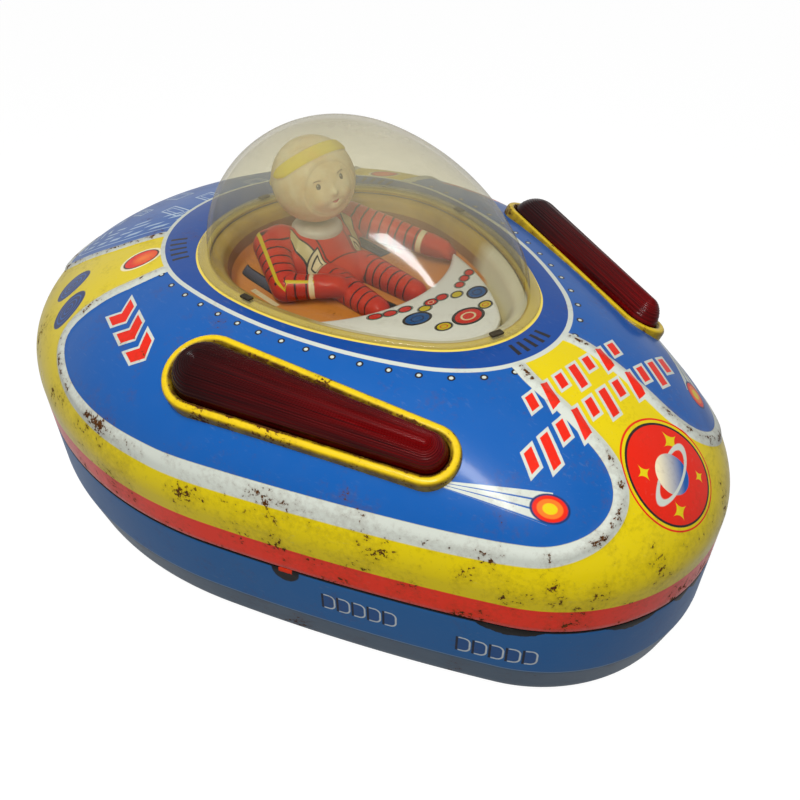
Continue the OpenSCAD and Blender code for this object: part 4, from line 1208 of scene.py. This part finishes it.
def finishLens():
    f = Finish("lensRed", Coat_Weight=0.08, Coat_Roughness=0.1, Specular_IOR_Level=0.04)
    rib, run, side = (f.mark(k) for k in ("ribMark", "runMark", "ribSide"))
    spots = {0: run * lensRed["along"], 1: rib * lensRed["across"] + side * lensRed["aside"], 2: 0.0}
    streak = f.noise(f.add("ShaderNodeCombineXYZ", None, spots), 1.0, 3, 0.6)
    # painted shade at the rear and painted light at the front; a painted highlight brightens the streaks towards the
    # front of the crown
    rearShadeFrontLight, paintedHighlight = run.ramp(*lensRed["rearShadeFrontLight"]), run.ramp(*lensRed["paintedHighlight"]) * (1 - rib)
    grooveShade = (abs((rib * light["ribs"]).fraction() - 0.5) * 2).ramp(0.3, 1.0)   # painted shade between the ribs
    f.colour = f.mix(rearShadeFrontLight, *lensRed["deep"])
    f.lay((streak + lensRed["glow"] * paintedHighlight).ramp(*lensRed["streak"]), f.mix(rearShadeFrontLight, *lensRed["bright"]))
    f.lay(grooveShade * lensRed["grooveShadeShare"], lensRed["grooveShade"])
    f.set("Base Color", f.colour)
    f.set("Roughness", 0.16 + 0.2 * streak)
    return f


canopyClear = dict(   # shares of haze and gloss, and the heights in mm between which they grow
    clear=tone(242, 241, 234), haze=tone(184, 175, 138), grimy=tone(104, 86, 54), thin=0.002, top=0.24, edge=0.28,
    cloud=0.012, cloudTop=0.13, scuff=0.025, grime=0.25, foot=0.08, footHigh=1.6, shine=0.028, shineEdge=0.16,
    topFrom=(80, 100), grimeFrom=(72, 98), smear=(0.5, 0.5, 2.2),
)


def finishCanopy():
    f, c = Finish("canopyClear", Coat_Weight=0.2, Coat_Roughness=0.1), canopyClear
    vector, *_, z = f.place()
    cloud, speck = f.noise(vector, 0.07, 4, 0.6), f.noise(vector, 1.3, 4, 0.7)
    scuff = f.noise(f.vectors("MULTIPLY", vector, c["smear"]), 0.7, 5, 0.7)
    foot, top = (z - shell["deck"] - c["footHigh"]).inside(0.5), z.ramp(*c["topFrom"])
    grime = (speck + 0.5 * cloud).ramp(0.88, 1.06) * z.ramp(*c["grimeFrom"])
    f.set("Base Color", f.mix(grime.most(foot * 0.2), c["haze"], c["grimy"]))
    f.set("Roughness", 0.22 + 0.3 * scuff)
    outer, facing = 1 - f.mark("innerMark"), f.add("ShaderNodeLayerWeight", None, {"Blend": 0.5}, out=1)
    haze = c["thin"] + c["top"] * top + c["edge"] * facing ** 3.0
    haze += (c["cloud"] + c["cloudTop"] * top) * cloud.ramp(0.3, 0.75)
    haze = (haze + c["scuff"] * scuff.ramp(0.45, 0.8) + c["grime"] * grime + c["foot"] * foot).clamped()
    clear = f.add("ShaderNodeBsdfTransparent", None, {0: c["clear"]})
    gloss = f.add("ShaderNodeBsdfGlossy", None, {"Roughness": 0.1})
    shine = (c["shine"] + c["shineEdge"] * facing ** 4.0) * outer
    f.show(f.mixShaders(shine, f.mixShaders(haze * outer, clear, f.plain()), gloss))
    return f


trayPrint = dict(   # heights above its floor, strips by middle and half width
    wall=tone(150, 96, 42), wallTop=7, stain=tone(104, 70, 32), darkPatchShare=0.4, pale=tone(226, 222, 200),
    paleFrom=(17, 24), floorTop=4.2, seatTop=0.6, seatAcross=(18.5, 2.2), seatAlong=(-25, 13),
    cushion=(tone(96, 102, 132), tone(44, 46, 70)), leverAcross=(23.2, 0.8), leverAlong=(-16, 6),
)


def finishTray():
    f, p = Finish("trayPrint"), trayPrint
    vector, x, y = f.place()[:3]
    above, across = f.mark("wallMark") - tray["floor"], abs(y)
    shade = f.noise(vector, 0.1, 3, 0.6)
    onFloor = (above - p["seatTop"]).inside(0.1)
    f.colour = inks["brass"]
    f.lay((above - p["wallTop"]).inside(0.2), p["wall"])
    # a darker brown laid in random patches by the noise
    f.lay(shade.ramp(0.35, 0.7) * p["darkPatchShare"], p["stain"])
    f.lay((x + shade * 4).ramp(*p["paleFrom"]), p["pale"])   # round the dash
    f.lay((above - p["floorTop"]).inside(0.2) * (x - p["paleFrom"][1]).inside(2), "floor")
    seatLine = across.beyond(*p["seatAcross"]).most(x.beyond(*p["seatAlong"]))
    f.lay(seatLine.inside(0.08) * onFloor, "black")
    cushion = f.mix((across - p["seatAcross"][0]).ramp(-1.6, 1.6), *p["cushion"])
    f.lay((seatLine + 0.5).inside(0.08) * onFloor, cushion)
    f.lay(across.beyond(*p["leverAcross"]).most(x.beyond(*p["leverAlong"])).inside(0.08), "cream")
    return wear(f, vector, (above - 1).inside(0.5) * 0.2, grime=0.4)


dialPrint = dict(rings=((1.15, "black"), (0.85, "white")), hoop=(0.5, 0.07), hooped=3.5, edge=1.6,   # mm and shares
                 hoops=dict(blue="navy", yellow="red", red="cream"))


def finishDash():
    f = Finish("dashPrint")
    vector, x, y, z = f.place()
    f.colour = inks["dash"]
    for cx, cy, length, width, ink in dials:
        turn = dialTurn(cx, cy)
        c, s, size = math.cos(turn), math.sin(turn), 2 / (length + width)
        across, along = (x - cx) * c + (y - cy) * s, (y - cy) * c - (x - cx) * s
        reach = (across / (width / 2)).away(along / (length / 2))
        for wide, ringInk in dialPrint["rings"]:
            f.lay((reach - 1 - wide * size).inside(0.1 * size), ringInk)
        core = inks[ink]
        if length > dialPrint["hooped"]:
            core = f.mix(reach.beyond(*dialPrint["hoop"]).inside(0.03), core, inks[dialPrint["hoops"][ink]])
        f.lay((reach - 1.02).inside(0.03), core)
    top = dash["high"] + (x - dash["pivot"]) * dash["rise"]
    f.lay((z - top + dialPrint["edge"]).inside(0.3), "yellow")
    return wear(f, vector, grime=0.25)


def finishBezels():
    f = Finish("bezelInk")
    vector = f.place()[0]
    f.colour = f.mix(f.noise(vector, 0.5, 3).ramp(0.35, 0.7), tone(22, 20, 26), tone(60, 52, 50))
    return wear(f, vector, rough=0.3)


suitPrint = dict(   # mm along a limb, degrees round it; strips by middle and half width
    bright=tone(222, 58, 12), shade=tone(112, 14, 4), shadeFrom=(50, 125), shadeShare=0.65,
    crease=2.9, creaseShare=0.19, piping=(-38, 7), cuff=(24.2, 0.8), seamAcross=(4.8, 0.22), seamAlong=(-14, 5),
    yokeAlong=(-9.2, 0.22), yokeEnd=5,
    strap=tone(214, 204, 150), strapAside=7.6, strapFront=-11, strapLean=0.25, strapHalf=1.25, strapEnd=-11.5,
    strapEdge=0.4, buckleAlong=(-11.6, 1.9), buckleAcross=(7.8, 2.0),
    buckle=((0.35, "black"), (0.0, "cream"), (-0.65, "black"), (-0.95, "cream")),
)


def finishSuit():
    f, p = Finish("suitPrint"), suitPrint
    vector, x, y = f.place()[:3]
    run, turn, kind = (f.mark(k) for k in ("limbRun", "limbTurn", "limbKind"))
    limb, side = kind.over(0.5), abs(y)
    arm, chest = (kind - 1.5).inside(0.05) * limb, 1 - limb
    glove = kind.over(1.5) * (kind - 2.5).inside(0.05)
    f.colour = f.mix(f.noise(vector, 0.12, 3).ramp(0.35, 0.7), inks["suit"], p["bright"])
    f.lay(abs(turn).ramp(*p["shadeFrom"]) * limb * p["shadeShare"], p["shade"])   # below the limbs
    crease = ((run / p["crease"] + f.noise(vector, 0.2, 2) * 0.5).fraction() - p["creaseShare"]).inside(0.03)
    f.lay(crease * limb * (1 - glove), "maroon")
    f.lay(turn.beyond(*p["piping"]).inside(1.2) * arm, "yellow")
    f.lay(run.beyond(*p["cuff"]).inside(0.08) * arm, "cream")
    seams = side.beyond(*p["seamAcross"]).most(x.beyond(*p["seamAlong"])).inside()
    yoke = x.beyond(*p["yokeAlong"]).most(side - p["yokeEnd"]).inside()
    f.lay(seams.most(yoke) * chest, "maroon")
    leaning = side + (x - p["strapFront"]) * p["strapLean"]
    strap = leaning.beyond(p["strapAside"], p["strapHalf"]).most(x - p["strapEnd"])
    f.lay((strap - p["strapEdge"]).inside() * chest, "black")
    f.lay(strap.inside() * chest, p["strap"])
    buckle = x.beyond(*p["buckleAlong"]).most(side.beyond(*p["buckleAcross"]))
    for size, ink in p["buckle"]:
        f.lay((buckle - size).inside() * chest, ink)
    return wear(f, vector, rough=0.24, coat=0.1, grime=0.2)


facePrint = dict(   # ovals by middle and radii, in degrees across and up the face
    aged=tone(236, 208, 146), blush=((21, -11), (9, 7)), blushInk=tone(232, 150, 110), blushShare=0.3,
    eye=((19.5, 11.5), (3.4, 4.0)), eyeInk=tone(50, 34, 26), glint=((19.5, 13.2), (1.0, 1.2)), glintAside=0.8,
    browUp=(19.5, 0.7), browAcross=(19.5, 5.5), browInk=tone(110, 76, 44), browShare=0.8, bow=0.03,
    mouth=((0, -16.5), (5.6, 2.0)), mouthInk=tone(196, 60, 40), band=(tone(252, 234, 30), tone(246, 220, 40)),
    grooveShade=(39.5, 0.9), grooveShadeInk=tone(150, 120, 80), grooveShadeShare=0.16,
)


def finishHead():
    f, p = Finish("headVinyl", Subsurface_Weight=0.06, Subsurface_Scale=0.002, Coat_Weight=0.04), facePrint
    f.set("Specular IOR Level", 0.2)
    vector = f.place()[0]
    across, up, away, band = (f.mark(k) for k in ("faceAcross", "faceUp", "faceAway", "bandMark"))
    stain, beside = f.noise(vector, 0.16, 4, 0.6), abs(across)
    f.colour = f.mix(stain.ramp(0.35, 0.75), inks["vinyl"], p["aged"])
    f.lay((1 - oval(beside, up, *p["blush"])).clamped() * p["blushShare"], p["blushInk"])
    f.lay((oval(beside, up, *p["eye"]) - 1).inside(0.1), p["eyeInk"])
    f.lay((oval(abs(across + p["glintAside"]), up, *p["glint"]) - 1).inside(0.15), "white")
    bowed = up + (beside - p["browAcross"][0]) ** 2 * p["bow"]
    brow = bowed.beyond(*p["browUp"]).most(beside.beyond(*p["browAcross"]))
    f.lay(brow.inside(0.3) * p["browShare"], p["browInk"])
    f.lay((oval(across, up - across * across * p["bow"], *p["mouth"]) - 1).inside(0.12), p["mouthInk"])
    f.lay((0.5 - band).inside(), f.mix(stain.ramp(0.4, 0.7), *p["band"]))
    f.lay(away.beyond(*p["grooveShade"]).inside(0.7) * p["grooveShadeShare"], p["grooveShadeInk"])   # painted shade in the groove round the face
    f.set("Base Color", f.colour)
    f.set("Roughness", 0.42 + 0.2 * stain)
    f.bump(stain, 0.08, 0.0002)
    return f


finishRim().on(*rims)
finishLens().on(*lenses)
finishCanopy().on(clearCanopy)
finishTray().on(cockpitTray)
finishDash().on(dashPanel)
finishBezels().on(dialBezels)
finishSuit().on(pilotBody)
finishHead().on(pilotHead)
print("lights, canopy and cockpit finished")


# plain stock for the works underneath

stocks = dict(   # colour, metal share, roughness, grain per mm and depth of the mottle
    zinc=((176, 178, 174), 0.9, 0.34, 0.5, 0.25), steel=((170, 170, 174), 1.0, 0.22, 1.4, 0.2),
    brass=((206, 168, 78), 1.0, 0.26, 0.9, 0.25), nylon=((224, 220, 204), 0.0, 0.42, 0.6, 0.12),
    rubber=((34, 34, 34), 0.0, 0.7, 1.2, 0.3), jacket=((176, 52, 30), 0.1, 0.3, 0.3, 0.2),
    black=((28, 28, 30), 0.0, 0.4, 0.8, 0.25), glass=((236, 232, 214), 0.0, 0.08, 0.4, 0.08),
    redTin=((206, 46, 26), 0.0, 0.3, 0.6, 0.35), darkTin=((66, 56, 42), 0.6, 0.42, 0.8, 0.4),
    white=((232, 230, 220), 0.0, 0.32, 0.5, 0.12),
)
stockUse = dict(
    redTin="shell_tabs", darkTin="canopy_tabs", glass="right_lamp left_lamp", jacket="right_cell left_cell",
    zinc="right_lamp_post left_lamp_post gear_plate top_plate turret rear_brackets right_rear_wheel left_rear_wheel "
         "battery_door switch_lever",
    steel="plate_posts motor_can motor_shaft gear_pin drive_shaft turret_clip drive_axle rear_axle door_pin",
    brass="motor_pinion drive_pinion front_contact rear_contact", nylon="reduction_gear output_gear crown_gear",
    rubber="right_drive_wheel left_drive_wheel right_rear_tyre left_rear_tyre", black="battery_box switch_case",
)


def stockFinish(name, colour, metal, rough, scale, mottle):
    f = Finish(name + "Stock", Metallic=metal)
    vector = f.place()[0]
    grain, patch = f.noise(vector, scale, 4, 0.6), f.noise(vector, scale * 0.12, 3, 0.5)
    dull = (c * (1 - mottle) for c in colour)
    f.set("Base Color", f.mix((grain * 0.5 + patch * 0.5).ramp(0.35, 0.65), tone(*colour), tone(*dull)))
    f.set("Roughness", rough + 0.16 * grain)
    f.bump(grain, 0.12, 0.0001)
    return f


finishes = {name: stockFinish(name, *values) for name, values in stocks.items()}
for name, used in stockUse.items():
    finishes[name].on(*(nodes[node] for node in used.split()))
finishes["white"].on(neckCollar)
print("works underneath:", sum(len(used.split()) for used in stockUse.values()), "nodes finished")


# floor and surroundings

ground = dict(   # mm, and shares of light
    reach=1500, glow=0.86, gain=1.11, mirror=0.5, bounce=tone(96, 96, 98),
    pale=(tone(250, 250, 250), tone(246, 246, 246)),
)


def layFloor():
    r = ground["reach"]
    floor = makePiece("paleFloor", [(-r, -r, 0), (r, -r, 0), (r, r, 0), (-r, r, 0)], [(0, 1, 2, 3)])
    f = Finish("paleFloor", Roughness=0.9)
    seen, through, mirrored = f.rays("Camera", "Transmission", "Glossy")
    seen = seen.most(through).most(mirrored * ground["mirror"])
    pale = f.mix(f.noise(f.place()[0], 0.02, 2), *ground["pale"])
    f.set("Base Color", f.mix(seen, ground["bounce"], pale))   # lamps bounce less off the floor than the camera sees
    glow = f.add("ShaderNodeEmission", None, {0: (1, 1, 1), 1: ground["gain"]})
    f.show(f.mixShaders(seen * ground["glow"], f.plain(), glow))
    f.on(floor)


def lightSky():
    scene.world = bpy.data.worlds.new("studioSky")
    scene.world.use_nodes = True
    sky = Graph()
    sky.tree = scene.world.node_tree
    sky.tree.nodes.clear()
    seen, through, mirrored = sky.rays("Camera", "Transmission", "Glossy")
    strength = (studio["skyLight"] + seen.most(through).most(mirrored)).least(1.0)
    back = sky.add("ShaderNodeBackground", None, {"Color": (1, 1, 1), "Strength": strength})
    plug(sky.tree, sky.tree.nodes.new("ShaderNodeOutputWorld").inputs[0], back)


layFloor()
lightSky()
